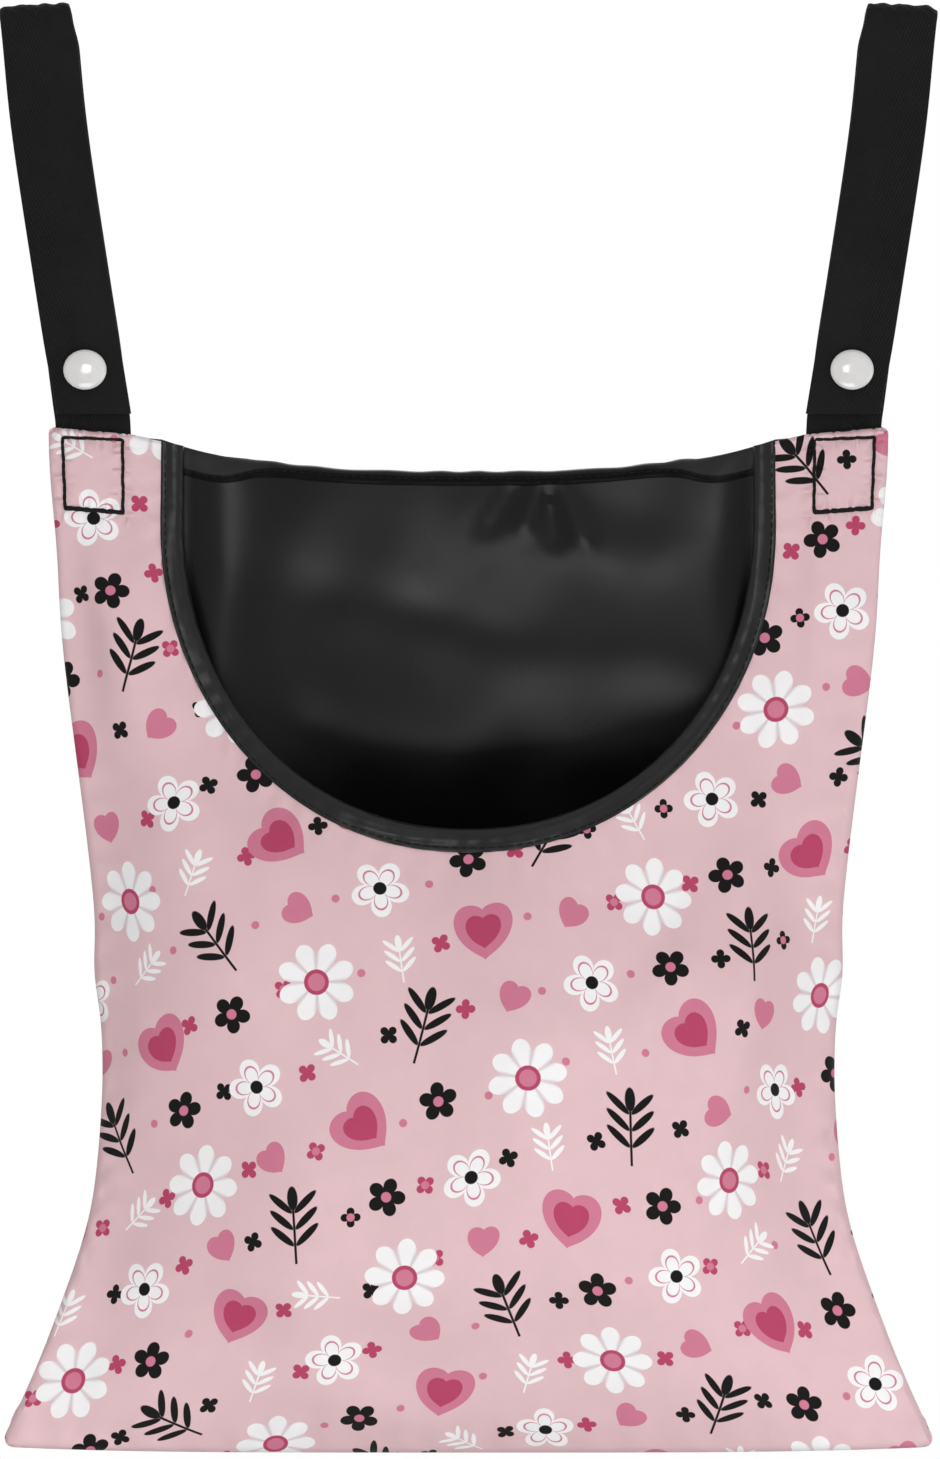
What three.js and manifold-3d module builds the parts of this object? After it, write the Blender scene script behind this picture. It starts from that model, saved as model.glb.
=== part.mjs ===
// Hanging peg bag: a lined cloth bag with a bound U-shaped mouth, on two webbing straps that fold over
// a clothes line and close on themselves with press studs.
// Millimetres, +Z up, front towards -Y. The origin is the line, midway between the two strap loops.
import * as THREE from 'three';
import { mergeVertices } from 'three/addons/utils/BufferGeometryUtils.js';
import Module from 'manifold-3d';

const wasm = await Module();
wasm.setup();

// Bag outline
const bagHeight = 340.5; // ear tops to the middle of the bottom seam
const topWidth = 280; // across both ears
const waistWidth = 244; // narrowest, where the sides are drawn in
const waistDrop = 214; // waist below the ear tops
const bottomWidth = 313; // where the side and bottom edges would meet
const cornerRadius = 5; // bottom corners
const bottomLift = 2; // bottom corners above the middle of the bottom seam
const earSlope = THREE.MathUtils.degToRad(5); // ear tops fall towards the mouth

// How far the cloth stands out
const frontBelly = 50;
const backBelly = 32;
const bellyAcross = 2.3; // exponents: how late the cloth falls away to the side and bottom seams
const bellyDown = 3;
const flareBend = 1.85; // and how late the sides flare below the waist
const flatDrop = 34; // the ears stay flat down to here
const backBow = 8; // back top edge, bowed away from the mouth
const backBowDrop = 120; // depth at which that bow has died out

// Mouth and its binding, and the folded edge along the back
const mouthWidth = 189.6; // clear width inside the binding
const mouthShoulder = 29.7; // depth of the straight sides of the U
const mouthDepth = 132.2; // clear depth below the ear tops
const mouthRoundness = 2.1; // exponent of the superellipse below the shoulders
const bindingWidth = 7.5;
const bindingCloth = 0.4;
const bindingGap = 0.6; // slack between the binding and the cloth it wraps
const backDip = 12.5; // back top edge, below the ears at the middle
const edgeWidth = 9.5;

// Cloth layers
const outerCloth = 0.8;
const lining = 0.5;
const layGap = 0.3; // clearance between neighbouring layers
const seamTurn = 2.4; // strip in which the outer panels turn in to meet at a seam
const seamAllowance = 7;
const seamThickness = 1;
const seamInset = 0.5; // seam allowance, behind the bag's edge

// Straps
const webbingWidth = 25.4;
const webbing = 1.5;
const strapLean = THREE.MathUtils.degToRad(7.65); // straps lean outwards going up
const strapRise = 134.5; // along the strap, from where it bends at the ear to the line
const strapRoot = 4; // that bend, above the ear top
const strapTuck = 30; // length sewn in between the layers of the ear
const tuckLean = THREE.MathUtils.degToRad(3.3);
const earMargin = 2; // ear cloth beyond the strap's outer edge
const lineGap = 7; // clear depth of the loop that takes the line
const tailStop = 1.2; // tail's lower end, above the bend at the ear
const flatRun = 32; // straight stretch of leg and tail that holds the stud
const stitchInset = 2.5; // box stitch, in from the edges of the tucked end
const stitchThread = 1.1;

// Press studs
const snapRise = 16.4; // stud, above the bend at the ear
const capDiameter = 14.5;
const capDome = 2.9;
const capRim = 0.9;
const socketDiameter = 11.6;
const socketDepth = 2.2;
const socketWeb = 0.9;
const studDiameter = 5.6;
const studFlange = 0.7;
const rivetDiameter = 11;
const rivetHead = 1.2;
const postDiameter = 3.4;

// Facets
const clothColumns = 17;
const clothRows = 22;
const mouthSteps = 34;
const edgeSteps = 24;
const roundSteps = 24;
const foldSteps = 9; // odd, so that one facet lies flat on the line
const weldDistance = 1e-4;

// Worked out from the sizes above
const liningInner = webbing / 2 + layGap;
const liningOuter = liningInner + lining;
const clothInner = liningOuter + layGap;
const clothOuter = clothInner + outerCloth;
const strapX = topWidth / 2 - earMargin - webbingWidth / 2;
const rootZ = -strapRise * Math.cos(strapLean);
const earTopZ = rootZ - strapRoot;
const mouthCut = bindingGap + bindingCloth; // cut edge of the cloth, outside the clear mouth
const mouthOuter = mouthWidth / 2 + bindingWidth;
const bendRadius = (lineGap + webbing) / 2;
const snapGap = 3 * layGap + socketDepth + studFlange; // between the facing sides of leg and tail
const tailY = -(webbing + snapGap);
const prismDepth = 2 * frontBelly + clothOuter;

const ease = (share) => 0.5 - 0.5 * Math.cos(Math.PI * THREE.MathUtils.clamp(share, 0, 1));

// Materials
const cloth = (color, roughness) => new THREE.MeshStandardMaterial({ color, roughness, metalness: 0 });
const printedCloth = cloth(0xdcbabf, 0.75);
const liningCloth = cloth(0x2c2b2d, 0.5);
const bindingTape = cloth(0x343234, 0.6);
const strapWebbing = cloth(0x232224, 0.8);
const blackThread = cloth(0x1c1b1d, 0.7);
const whitePlastic = cloth(0xf2f1ef, 0.25);

// Makes a closed body of welded triangles with its faces pointing out.
function closedBody(geometry) {
  geometry.deleteAttribute('normal');
  geometry.deleteAttribute('uv');
  const body = mergeVertices(geometry, weldDistance);
  const corner = new THREE.Vector3();
  const point = (i) => corner.clone().fromBufferAttribute(body.getAttribute('position'), i);
  const source = body.getIndex().array;
  const triangles = [];
  let volume = 0;
  for (let i = 0; i < source.length; i += 3) {
    const [a, b, c] = source.slice(i, i + 3);
    if (a === b || b === c || c === a) continue;
    triangles.push([a, b, c]);
    volume += point(a).dot(point(b).cross(point(c)));
  }
  body.setIndex(triangles.flatMap(([a, b, c]) => (volume < 0 ? [a, c, b] : [a, b, c])));
  body.computeVertexNormals();
  return body;
}

// A closed sheet between two matching grids of points.
function sheet(face, reverse) {
  const rows = face.length;
  const columns = face[0].length;
  const far = rows * columns;
  const index = [];
  const quad = (a, b, c, d) => index.push(a, b, c, a, c, d);
  for (let r = 0; r < rows - 1; r += 1) {
    for (let c = 0; c < columns - 1; c += 1) {
      const a = r * columns + c;
      const d = a + columns;
      quad(a, a + 1, d + 1, d);
      quad(far + a, far + d, far + d + 1, far + a + 1);
    }
  }
  const rim = (a, b) => quad(a, far + a, far + b, b);
  const last = (rows - 1) * columns;
  for (let c = 0; c < columns - 1; c += 1) {
    rim(c, c + 1);
    rim(last + c + 1, last + c);
  }
  for (let r = 0; r < rows - 1; r += 1) {
    rim((r + 1) * columns, r * columns);
    rim(r * columns + columns - 1, (r + 2) * columns - 1);
  }
  const geometry = new THREE.BufferGeometry().setFromPoints([...face.flat(), ...reverse.flat()]);
  geometry.setIndex(index);
  return closedBody(geometry);
}

function toSolid(geometry) {
  const vertProperties = new Float32Array(geometry.getAttribute('position').array);
  const triVerts = new Uint32Array(geometry.getIndex().array);
  return new wasm.Manifold(new wasm.Mesh({ numProp: 3, vertProperties, triVerts }));
}

// Cuts one closed geometry out of another.
function cut(geometry, tool) {
  const mesh = toSolid(geometry).subtract(toSolid(tool)).getMesh();
  const result = new THREE.BufferGeometry();
  result.setAttribute('position', new THREE.BufferAttribute(mesh.vertProperties, 3));
  result.setIndex(Array.from(mesh.triVerts));
  return closedBody(result);
}

// A round body turned about the Y axis from [radius, y] pairs.
function turned(profile) {
  const points = profile.map(([radius, y]) => new THREE.Vector2(radius, y));
  return closedBody(new THREE.LatheGeometry(points, roundSteps));
}

// Half the bag's width at a depth below the ear tops.
function halfWidth(drop) {
  const lower = Math.max(0, (drop - waistDrop) / (bagHeight - waistDrop));
  const upper = ease(1 - drop / waistDrop);
  const flare = lower ** flareBend;
  const gain = drop < waistDrop ? (topWidth - waistWidth) * upper : (bottomWidth - waistWidth) * flare;
  const past = THREE.MathUtils.clamp(drop - (bagHeight - cornerRadius), 0, cornerRadius);
  return (waistWidth + gain) / 2 - cornerRadius + Math.sqrt(cornerRadius ** 2 - past ** 2);
}

const bottomZ = (x) => earTopZ - bagHeight + bottomLift * Math.abs((2 * x) / bottomWidth) ** 4;
const earTop = (x) => earTopZ + (Math.abs(x) - strapX) * Math.tan(earSlope);
const frontTop = (x) => earTop(Math.max(Math.abs(x), mouthOuter));
const backTop = (x) => frontTop(x) - backDip * (1 - Math.min(1, Math.abs(x) / mouthOuter) ** 3);

// How far the cloth stands out from the flat bag at a place on it: zero along every seam and on the ears.
function belly(size, x, z) {
  const drop = (bagHeight * (earTopZ - z)) / (earTopZ - bottomZ(x));
  const across = 1 - Math.min(1, Math.abs(x) / halfWidth(Math.max(0, drop))) ** bellyAcross;
  const rise = ease((drop - flatDrop) / (waistDrop - flatDrop));
  const fall = 1 - Math.max(0, (drop - waistDrop) / (bagHeight - waistDrop)) ** bellyDown;
  return size * across * rise * fall;
}
const frontStand = (x, z) => -belly(frontBelly, x, z);
function backStand(x, z) {
  const middle = Math.max(0, 1 - (x / mouthOuter) ** 2) ** 2;
  const fading = THREE.MathUtils.clamp(1 - (earTopZ - z) / backBowDrop, 0, 1) ** 2;
  return belly(backBelly, x, z) + backBow * middle * fading;
}

// One layer of a panel, between two offsets from the bag's middle plane. An outer layer turns in at the
// side and bottom seams to meet the other panel, and a lining stops short of that turn.
function panelLayer(side, inner, outer, top, stand, isOuter) {
  const edges = isOuter ? [0, seamTurn / 2] : [];
  const columns = [
    ...edges.map((edge) => ({ share: -1, edge })),
    ...Array.from({ length: clothColumns + 1 }, (_, i) => ({
      share: (2 * i) / clothColumns - 1,
      edge: seamTurn,
    })),
    ...edges.toReversed().map((edge) => ({ share: 1, edge })),
  ];
  const lastDrop = bagHeight - Math.max(cornerRadius, seamTurn);
  const drops = Array.from({ length: clothRows + 1 }, (_, i) => (lastDrop * i) / clothRows);
  drops.push(...[seamTurn, ...edges.toReversed()].map((edge) => bagHeight - edge));
  const grid = (offset) =>
    drops.map((drop) =>
      columns.map(({ share, edge }) => {
        const x = share * (halfWidth(drop) - edge);
        const z = top(x) + (drop / bagHeight) * (bottomZ(x) - top(x));
        const sideSewn = ease((drop - flatDrop) / (2 * seamTurn)); // the ears' sides stay open
        const sideOpen = 1 - sideSewn * (1 - edge / seamTurn);
        const open = Math.min(sideOpen, (bagHeight - drop) / seamTurn, 1);
        const shut = 1 - Math.sin((Math.PI / 2) * open);
        const y = stand(x, z) + side * (offset - shut * (inner - layGap / 2));
        return new THREE.Vector3(x, y, z);
      }),
    );
  return sheet(grid(outer), grid(inner));
}

// Points of the U, from the left ear down round to the right ear, at a distance outside the clear mouth.
function mouthPath(outside) {
  const across = mouthWidth / 2 + outside;
  const down = mouthDepth - mouthShoulder + outside;
  const shoulderZ = earTopZ - mouthShoulder;
  const topZ = earTop(mouthOuter);
  const bow = (value) => Math.sign(value) * Math.abs(value) ** (2 / mouthRoundness);
  const round = Array.from({ length: mouthSteps + 1 }, (_, i) => {
    const angle = (Math.PI * i) / mouthSteps;
    return new THREE.Vector2(-across * bow(Math.cos(angle)), shoulderZ - down * bow(Math.sin(angle)));
  });
  const halfway = (topZ + shoulderZ) / 2;
  const upright = (x, heights) => heights.map((z) => new THREE.Vector2(x, z));
  return [...upright(-across, [topZ, halfway]), ...round, ...upright(across, [halfway, topZ])];
}

// A tape folded over an edge: a U-shaped section carried along a path of [x, z] points, with the tape's
// fold on the path's left. Sections are [distance past the edge, offset from the middle plane].
function foldedTape(path, side, stand, outerSection, innerSection) {
  const grid = (section) =>
    path.map((point, i) => {
      const before = path[Math.max(0, i - 1)];
      const after = path[Math.min(path.length - 1, i + 1)];
      const along = after.clone().sub(before).normalize();
      return section.map(([past, offset]) => {
        const x = point.x - along.y * past;
        const z = point.y + along.x * past;
        return new THREE.Vector3(x, stand(x, z) + side * offset, z);
      });
    });
  return sheet(grid(outerSection), grid(innerSection));
}

function tapeSections(width, gap) {
  const near = liningInner - gap;
  const far = clothOuter + gap;
  const inner = [
    [-width, far],
    [gap / 2, far],
    [gap, far - gap / 2],
    [gap, near + gap / 2],
    [gap / 2, near],
    [-width, near],
  ];
  const outer = inner.map(([past, offset]) => [
    past > 0 ? past + bindingCloth : past,
    offset > (near + far) / 2 ? offset + bindingCloth : offset - bindingCloth,
  ]);
  return [outer, inner];
}

// A strip of seam allowance between two paths of [x, z] points, in the bag's middle plane.
function seamStrip(edgePath, innerPath) {
  const grid = (y) =>
    edgePath.map((edge, i) => [edge, innerPath[i]].map((point) => new THREE.Vector3(point.x, y, point.y)));
  return sheet(grid(-seamThickness / 2), grid(seamThickness / 2));
}

function sideSeam(side) {
  const first = strapTuck + 4 * seamTurn + seamInset;
  const last = bagHeight - cornerRadius - seamAllowance;
  const path = (inset) =>
    Array.from({ length: clothRows + 1 }, (_, i) => {
      const drop = first + ((last - first) * i) / clothRows;
      return new THREE.Vector2(side * (halfWidth(drop) - inset), earTopZ - drop);
    });
  return seamStrip(path(seamInset), path(seamAllowance));
}

function bottomSeam() {
  const reach = halfWidth(bagHeight) - seamAllowance - cornerRadius;
  const path = (inset) =>
    Array.from({ length: clothColumns + 1 }, (_, i) => {
      const x = reach * ((2 * i) / clothColumns - 1);
      return new THREE.Vector2(x, bottomZ(x) + inset);
    });
  return seamStrip(path(seamInset), path(seamAllowance));
}

// A length of webbing through stations given along the strap: its middle, half its thickness there, and
// how far the cut across it is skewed.
function webbingStrip(stations) {
  const grid = (facing) =>
    stations.map(({ y, z, half, skew }) =>
      [-0.5, 0.5].map((share) => {
        const x = share * webbingWidth;
        return new THREE.Vector3(x, y + facing * half, z + x * skew);
      }),
    );
  return sheet(grid(-1), grid(1));
}

const legY = (z) => bendRadius * ease((z - flatRun) / (strapRise - flatRun));
const frontY = (z) => tailY + (-bendRadius - tailY) * ease((z - flatRun) / (strapRise - flatRun));

// Stations up to the fold. The lower end is cut level, and the cut squares up over the flat run.
function strapStations(side, first, middle) {
  const last = strapRise - layGap;
  const above = [0.2, 0.4, 0.6, 0.8, 1].map((share) => THREE.MathUtils.lerp(flatRun, last, share));
  const heights = [first, flatRun, ...above];
  return heights.map((z) => ({
    y: middle(z),
    z,
    half: webbing / 2,
    skew: Math.tan(side * strapLean) * (1 - ease((z - first) / (flatRun - first))),
  }));
}

// Half-round end of the webbing: heights from its flat stretch to its tip, and half its thickness there.
const roundEnd = [80, 55, 28].map((degrees) => {
  const angle = THREE.MathUtils.degToRad(degrees);
  return { reach: (webbing / 2) * Math.sin(angle), half: (webbing / 2) * Math.cos(angle) };
});

function postHole(y) {
  const radius = postDiameter / 2 + layGap;
  const hole = new THREE.CylinderGeometry(radius, radius, 4 * webbing, roundSteps);
  hole.translate(0, y, snapRise);
  return closedBody(hole);
}

// The leg's lower end is rounded about the level axis on which the bag swings.
function strapLeg(side) {
  const stations = strapStations(side, 0, legY);
  const tip = roundEnd.map(({ reach, half }) => ({ ...stations[0], z: -reach / Math.cos(strapLean), half }));
  return cut(webbingStrip([...tip, ...stations]), postHole(0));
}

function strapTail(side) {
  return cut(webbingStrip(strapStations(side, tailStop, frontY)), postHole(tailY));
}

function strapFold() {
  const arc = (radius) =>
    Array.from({ length: foldSteps + 1 }, (_, i) => {
      const angle = (Math.PI * i) / foldSteps;
      const z = strapRise + radius * Math.sin(angle);
      return [-0.5, 0.5].map((share) => new THREE.Vector3(share * webbingWidth, radius * Math.cos(angle), z));
    });
  return sheet(arc(bendRadius + webbing / 2), arc(bendRadius - webbing / 2));
}

// The end of the strap, tucked into the ear. Its round top lies just below the leg's.
function strapEnd(side) {
  const shoulder = rootZ - webbing - layGap;
  const stations = [
    ...roundEnd.map(({ reach, half }) => ({ z: shoulder + reach, half })),
    { z: shoulder, half: webbing / 2 },
    { z: earTopZ - strapTuck, half: webbing / 2 },
  ];
  const grid = (facing) =>
    stations.map(({ z, half }) =>
      [-0.5, 0.5].map((share) => {
        const x = side * (strapX - (rootZ - z) * Math.tan(tuckLean)) + share * webbingWidth;
        return new THREE.Vector3(x, facing * half, z);
      }),
    );
  return sheet(grid(-1), grid(1));
}

function boxStitch() {
  const frame = (width, height) => {
    const [x, y] = [width / 2, height / 2];
    return [[-x, -y], [x, -y], [x, y], [-x, y]].map(([a, b]) => new THREE.Vector2(a, b));
  };
  const width = webbingWidth - 2 * stitchInset;
  const height = strapTuck - 2 * stitchInset;
  const outline = new THREE.Shape(frame(width, height));
  outline.holes.push(new THREE.Path(frame(width - 2 * stitchThread, height - 2 * stitchThread)));
  const thread = new THREE.ExtrudeGeometry(outline, { depth: stitchThread / 2, bevelEnabled: false });
  thread.rotateX(Math.PI / 2);
  return closedBody(thread);
}

// Press-stud pieces, about the strap's own Y axis at the height of the stud.
const tailFace = tailY - webbing / 2;
const socketFace = tailY + webbing / 2 + layGap;
const webBack = socketFace + socketWeb;
const socketBack = socketFace + socketDepth;
const flangeBack = -webbing / 2 - layGap;
const flangeFace = flangeBack - studFlange;
const studTip = webBack + layGap;
const post = postDiameter / 2;
const bore = post + layGap;

function snapCap() {
  const back = tailFace - layGap;
  const radius = capDiameter / 2;
  const dome = [0, 18, 36, 54, 72, 90].map((degrees) => {
    const angle = THREE.MathUtils.degToRad(degrees);
    return [radius * Math.sin(angle), back - capRim - (capDome - capRim) * Math.cos(angle)];
  });
  return turned([...dome, [radius, back], [post, back], [post, webBack], [0, webBack]]);
}

function snapSocket() {
  const radius = socketDiameter / 2;
  const recess = studDiameter / 2 + layGap;
  return turned([
    [bore, socketFace], [radius, socketFace], [radius, socketBack], [recess, socketBack],
    [recess, webBack], [bore, webBack], [bore, socketFace],
  ]);
}

function snapStud() {
  const radius = socketDiameter / 2;
  const head = studDiameter / 2;
  const boreEnd = flangeFace - layGap;
  return turned([
    [0, studTip], [head, studTip], [head, flangeFace], [radius, flangeFace],
    [radius, flangeBack], [bore, flangeBack], [bore, boreEnd], [0, boreEnd],
  ]);
}

function snapRivet() {
  const face = webbing / 2 + layGap;
  const radius = rivetDiameter / 2;
  return turned([
    [0, flangeFace], [post, flangeFace], [post, face], [radius, face],
    [radius, face + rivetHead / 2], [radius * 0.8, face + rivetHead], [0, face + rivetHead],
  ]);
}

const pegBag = new THREE.Group();
function add(parent, name, geometry, material) {
  const mesh = new THREE.Mesh(geometry, material);
  mesh.name = name;
  parent.add(mesh);
  return mesh;
}

// Cloth
const mouthOutline = mouthPath(mouthCut);
const aboveEars = earTopZ + bagHeight;
const mouthShape = new THREE.Shape([
  ...mouthOutline,
  new THREE.Vector2(mouthOutline.at(-1).x, aboveEars),
  new THREE.Vector2(mouthOutline[0].x, aboveEars),
]);
const mouthPrism = new THREE.ExtrudeGeometry(mouthShape, { depth: prismDepth, bevelEnabled: false });
mouthPrism.rotateX(Math.PI / 2);
const mouth = closedBody(mouthPrism);

const frontPanel = panelLayer(-1, clothInner, clothOuter, frontTop, frontStand, true);
const frontLining = panelLayer(-1, liningInner, liningOuter, frontTop, frontStand, false);
add(pegBag, 'front_panel', cut(frontPanel, mouth), printedCloth);
add(pegBag, 'front_lining', cut(frontLining, mouth), liningCloth);
add(pegBag, 'back_panel', panelLayer(1, clothInner, clothOuter, backTop, backStand, true), printedCloth);
add(pegBag, 'back_lining', panelLayer(1, liningInner, liningOuter, backTop, backStand, false), liningCloth);

const bindingSections = tapeSections(bindingWidth - mouthCut, bindingGap);
add(pegBag, 'mouth_binding', foldedTape(mouthOutline, -1, frontStand, ...bindingSections), bindingTape);
const edgeReach = strapX - webbingWidth / 2 - strapTuck * Math.tan(tuckLean) - 2 * layGap;
const backEdge = Array.from({ length: edgeSteps + 1 }, (_, i) => {
  const x = edgeReach * ((2 * i) / edgeSteps - 1);
  return new THREE.Vector2(x, backTop(x));
});
const edgeSections = tapeSections(edgeWidth, layGap);
add(pegBag, 'back_edge_band', foldedTape(backEdge, 1, backStand, ...edgeSections), bindingTape);
add(pegBag, 'bottom_seam', bottomSeam(), liningCloth);

// Straps, their sewn-in ends and press studs
for (const [sideName, side] of [['left', -1], ['right', 1]]) {
  add(pegBag, `${sideName}_side_seam`, sideSeam(side), liningCloth);
  add(pegBag, `${sideName}_strap_end`, strapEnd(side), strapWebbing);
  const stitch = add(pegBag, `${sideName}_box_stitch`, boxStitch(), blackThread);
  const stitchDrop = strapTuck / 2;
  const stitchX = strapX - (strapRoot + stitchDrop) * Math.tan(tuckLean);
  stitch.position.set(side * stitchX, -(clothOuter + layGap), earTopZ - stitchDrop);
  stitch.rotation.y = side * tuckLean;

  const strap = new THREE.Group();
  strap.position.set(side * strapX, 0, rootZ);
  strap.rotation.y = side * strapLean;
  pegBag.add(strap);
  add(strap, `${sideName}_strap_leg`, strapLeg(side), strapWebbing);
  add(strap, `${sideName}_strap_fold`, strapFold(), strapWebbing);
  add(strap, `${sideName}_strap_tail`, strapTail(side), strapWebbing);
  const snap = new THREE.Group();
  snap.position.z = snapRise;
  strap.add(snap);
  add(snap, `${sideName}_snap_cap`, snapCap(), whitePlastic);
  add(snap, `${sideName}_snap_socket`, snapSocket(), whitePlastic);
  add(snap, `${sideName}_snap_stud`, snapStud(), whitePlastic);
  add(snap, `${sideName}_snap_rivet`, snapRivet(), whitePlastic);
}

export default pegBag;
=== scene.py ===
# Peg bag: printed cloth, black lining, webbing straps and press studs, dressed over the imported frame.
# Lengths are in millimetres until they reach a mesh. The line is the origin, +Z is up, the mouth faces -Y.
import math
import bpy
import numpy as np
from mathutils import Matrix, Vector


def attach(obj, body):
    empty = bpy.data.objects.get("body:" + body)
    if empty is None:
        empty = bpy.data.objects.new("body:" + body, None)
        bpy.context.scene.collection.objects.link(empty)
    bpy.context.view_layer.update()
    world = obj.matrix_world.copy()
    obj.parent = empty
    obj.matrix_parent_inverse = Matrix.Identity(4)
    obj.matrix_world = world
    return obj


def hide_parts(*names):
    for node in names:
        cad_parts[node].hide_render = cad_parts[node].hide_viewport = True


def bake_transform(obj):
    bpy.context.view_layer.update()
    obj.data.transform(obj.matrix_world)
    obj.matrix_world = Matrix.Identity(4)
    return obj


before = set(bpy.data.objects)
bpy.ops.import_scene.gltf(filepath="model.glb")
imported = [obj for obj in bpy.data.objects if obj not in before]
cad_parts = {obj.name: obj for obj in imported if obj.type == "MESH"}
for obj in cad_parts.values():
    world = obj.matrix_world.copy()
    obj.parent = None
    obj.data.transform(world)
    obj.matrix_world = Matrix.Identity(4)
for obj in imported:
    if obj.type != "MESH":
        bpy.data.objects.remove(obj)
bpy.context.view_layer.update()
scene = bpy.context.scene
print("frame loaded:", len(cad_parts), "nodes")

millimetre = 0.001  # in metres
wholeTurn = 2 * math.pi
bothSides = ((-1, "left"), (1, "right"))
facingFront, facingBack = [0.0, -1.0, 0.0], [0.0, 1.0, 0.0]


# Quads between neighbours on the last two axes of a grid of numbers.
def gridQuads(grid):
    corners = (grid[..., :-1, :-1], grid[..., :-1, 1:], grid[..., 1:, 1:], grid[..., 1:, :-1])
    return np.stack(corners, -1).reshape(-1, 4)


# Piece from points in millimetres and faces, shaded smooth up to the sharp angle in degrees. flat is the
# place of each face corner on the flat cloth.
def meshPiece(name, points, faces, flat=None, sharp=None):
    mesh = bpy.data.meshes.new(name)
    mesh.from_pydata((points.reshape(-1, 3) * millimetre).tolist(), [], faces)
    if flat is not None:
        places = (flat * millimetre).astype(np.float32)
        mesh.uv_layers.new(name="flat").data.foreach_set("uv", places.reshape(-1))
    mesh.shade_smooth()
    if sharp is not None:
        mesh.set_sharp_from_angle(angle=math.radians(sharp))
    piece = bpy.data.objects.new(name, mesh)
    scene.collection.objects.link(piece)
    return piece


# Surface over a grid of points. ringed closes each row into a loop, capped fills the first and last row, flip
# turns the faces round. uv has one column more than a ringed grid, so that the map runs on to its own end.
def surface(name, points, uv=None, ringed=False, capped=False, flip=False, sharp=40.0):
    rows, columns = points.shape[:2]
    index = np.arange(rows * columns).reshape(rows, columns)
    if ringed:
        index = np.concatenate([index, index[:, :1]], axis=1)
    spot = np.arange(index.size).reshape(index.shape)
    turn = -1 if flip else 1
    faces = gridQuads(index)[:, ::turn].tolist()
    corners = gridQuads(spot)[:, ::turn].reshape(-1)
    if capped:
        for row, order in ((0, -turn), (-1, turn)):
            faces.append(index[row, :columns][::order].tolist())
            corners = np.append(corners, spot[row, :columns][::order])
    flat = None if uv is None else uv.reshape(-1, 2)[corners]
    return meshPiece(name, points, faces, flat, sharp)


# Several arrays, stretched to one shape, as the coordinates of points.
def asPoints(*coordinates):
    return np.stack(np.broadcast_arrays(*coordinates), -1)


# Wall of cloth on a sheet, put on its inner side.
def thicken(piece, wall):
    solid = piece.modifiers.new("wall", "SOLIDIFY")
    solid.thickness = wall * millimetre
    solid.offset = -1.0
    return piece


# Puts a finished piece into the frame: its material, the body it rides on and the nodes it stands in for.
# The slot is not used.
def dress(piece, finish, body, slot, *nodes):
    piece.data.materials.append(finish)
    if body:
        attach(piece, body)
    if nodes:
        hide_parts(*nodes)
    return piece


# Materials. A Wire is one value in a node tree: sums, products and the like make Math nodes.
class Wire:
    def __init__(self, tree, socket):
        self.tree, self.socket = tree, socket

    def math(self, operation, *others):
        values = dict(enumerate((self, *others)))
        return nodeWire(self.tree, "ShaderNodeMath", values, operation=operation)

    def __add__(self, other):
        return self.math("ADD", other)

    def __sub__(self, other):
        return self.math("SUBTRACT", other)

    def __mul__(self, other):
        return self.math("MULTIPLY", other)

    def __truediv__(self, other):
        return self.math("DIVIDE", other)

    def __pow__(self, other):
        return self.math("POWER", other)


# Links a wire to a socket, or sets a plain value on it.
def feed(tree, slot, value):
    if isinstance(value, Wire):
        tree.links.new(value.socket, slot)
    else:
        slot.default_value = value


# Node with its settings, then its inputs by name or number.
def addNode(tree, kind, inputs=None, **settings):
    node = tree.nodes.new(kind)
    for key, value in settings.items():
        setattr(node, key, value)
    for key, value in (inputs or {}).items():
        feed(tree, node.inputs[key], value)
    return node


# Wire from one output of a new node.
def nodeWire(tree, kind, inputs=None, output=0, **settings):
    return Wire(tree, addNode(tree, kind, inputs, **settings).outputs[output])


# Linear colour of 8-bit values, by the sRGB curve.
def srgb(red, green, blue):
    share = np.array([red, green, blue]) / 255
    return (*np.where(share <= 0.04045, share / 12.92, ((share + 0.055) / 1.055) ** 2.4), 1.0)


# Colour a where the mask is 0 and b where it is 1.
def mixColour(tree, mask, a, b):
    return nodeWire(tree, "ShaderNodeMix", {0: mask, 6: a, 7: b}, 2, data_type="RGBA")


# Smooth ramp of a field, from the first pair of values to the second.
def ramp(field, low, high, start, end):
    values = {0: field, 1: low, 2: high, 3: start, 4: end}
    return nodeWire(field.tree, "ShaderNodeMapRange", values, interpolation_type="SMOOTHSTEP")


# 1 inside a shape, where its field is below 0, with an edge of the given softness.
def inked(field, soft):
    return ramp(field, soft, -soft, 0.0, 1.0)


# Noise by place, from 0 to 1.
def noise(tree, place, scale, detail):
    return nodeWire(tree, "ShaderNodeTexNoise", {"Vector": place, "Scale": scale, "Detail": detail})


# Node group with its inputs as wires and its output sockets.
def newGroup(name, inputs, outputs):
    group = bpy.data.node_groups.new(name, "ShaderNodeTree")
    for label, kind, start in inputs:
        socket = group.interface.new_socket(label, in_out="INPUT", socket_type="NodeSocket" + kind)
        if start is not None:
            socket.default_value = start
    for label, kind in outputs:
        group.interface.new_socket(label, in_out="OUTPUT", socket_type="NodeSocket" + kind)
    entry = group.nodes.new("NodeGroupInput")
    ends = group.nodes.new("NodeGroupOutput")
    return group, {label: Wire(group, entry.outputs[label]) for label, _, _ in inputs}, ends.inputs


# Place on the flat cloth in millimetres.
def clothPlace(group, cloth):
    split = addNode(group, "ShaderNodeSeparateXYZ", {0: cloth})
    return Wire(group, split.outputs[0]) * 1000.0, Wire(group, split.outputs[1]) * 1000.0


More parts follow.
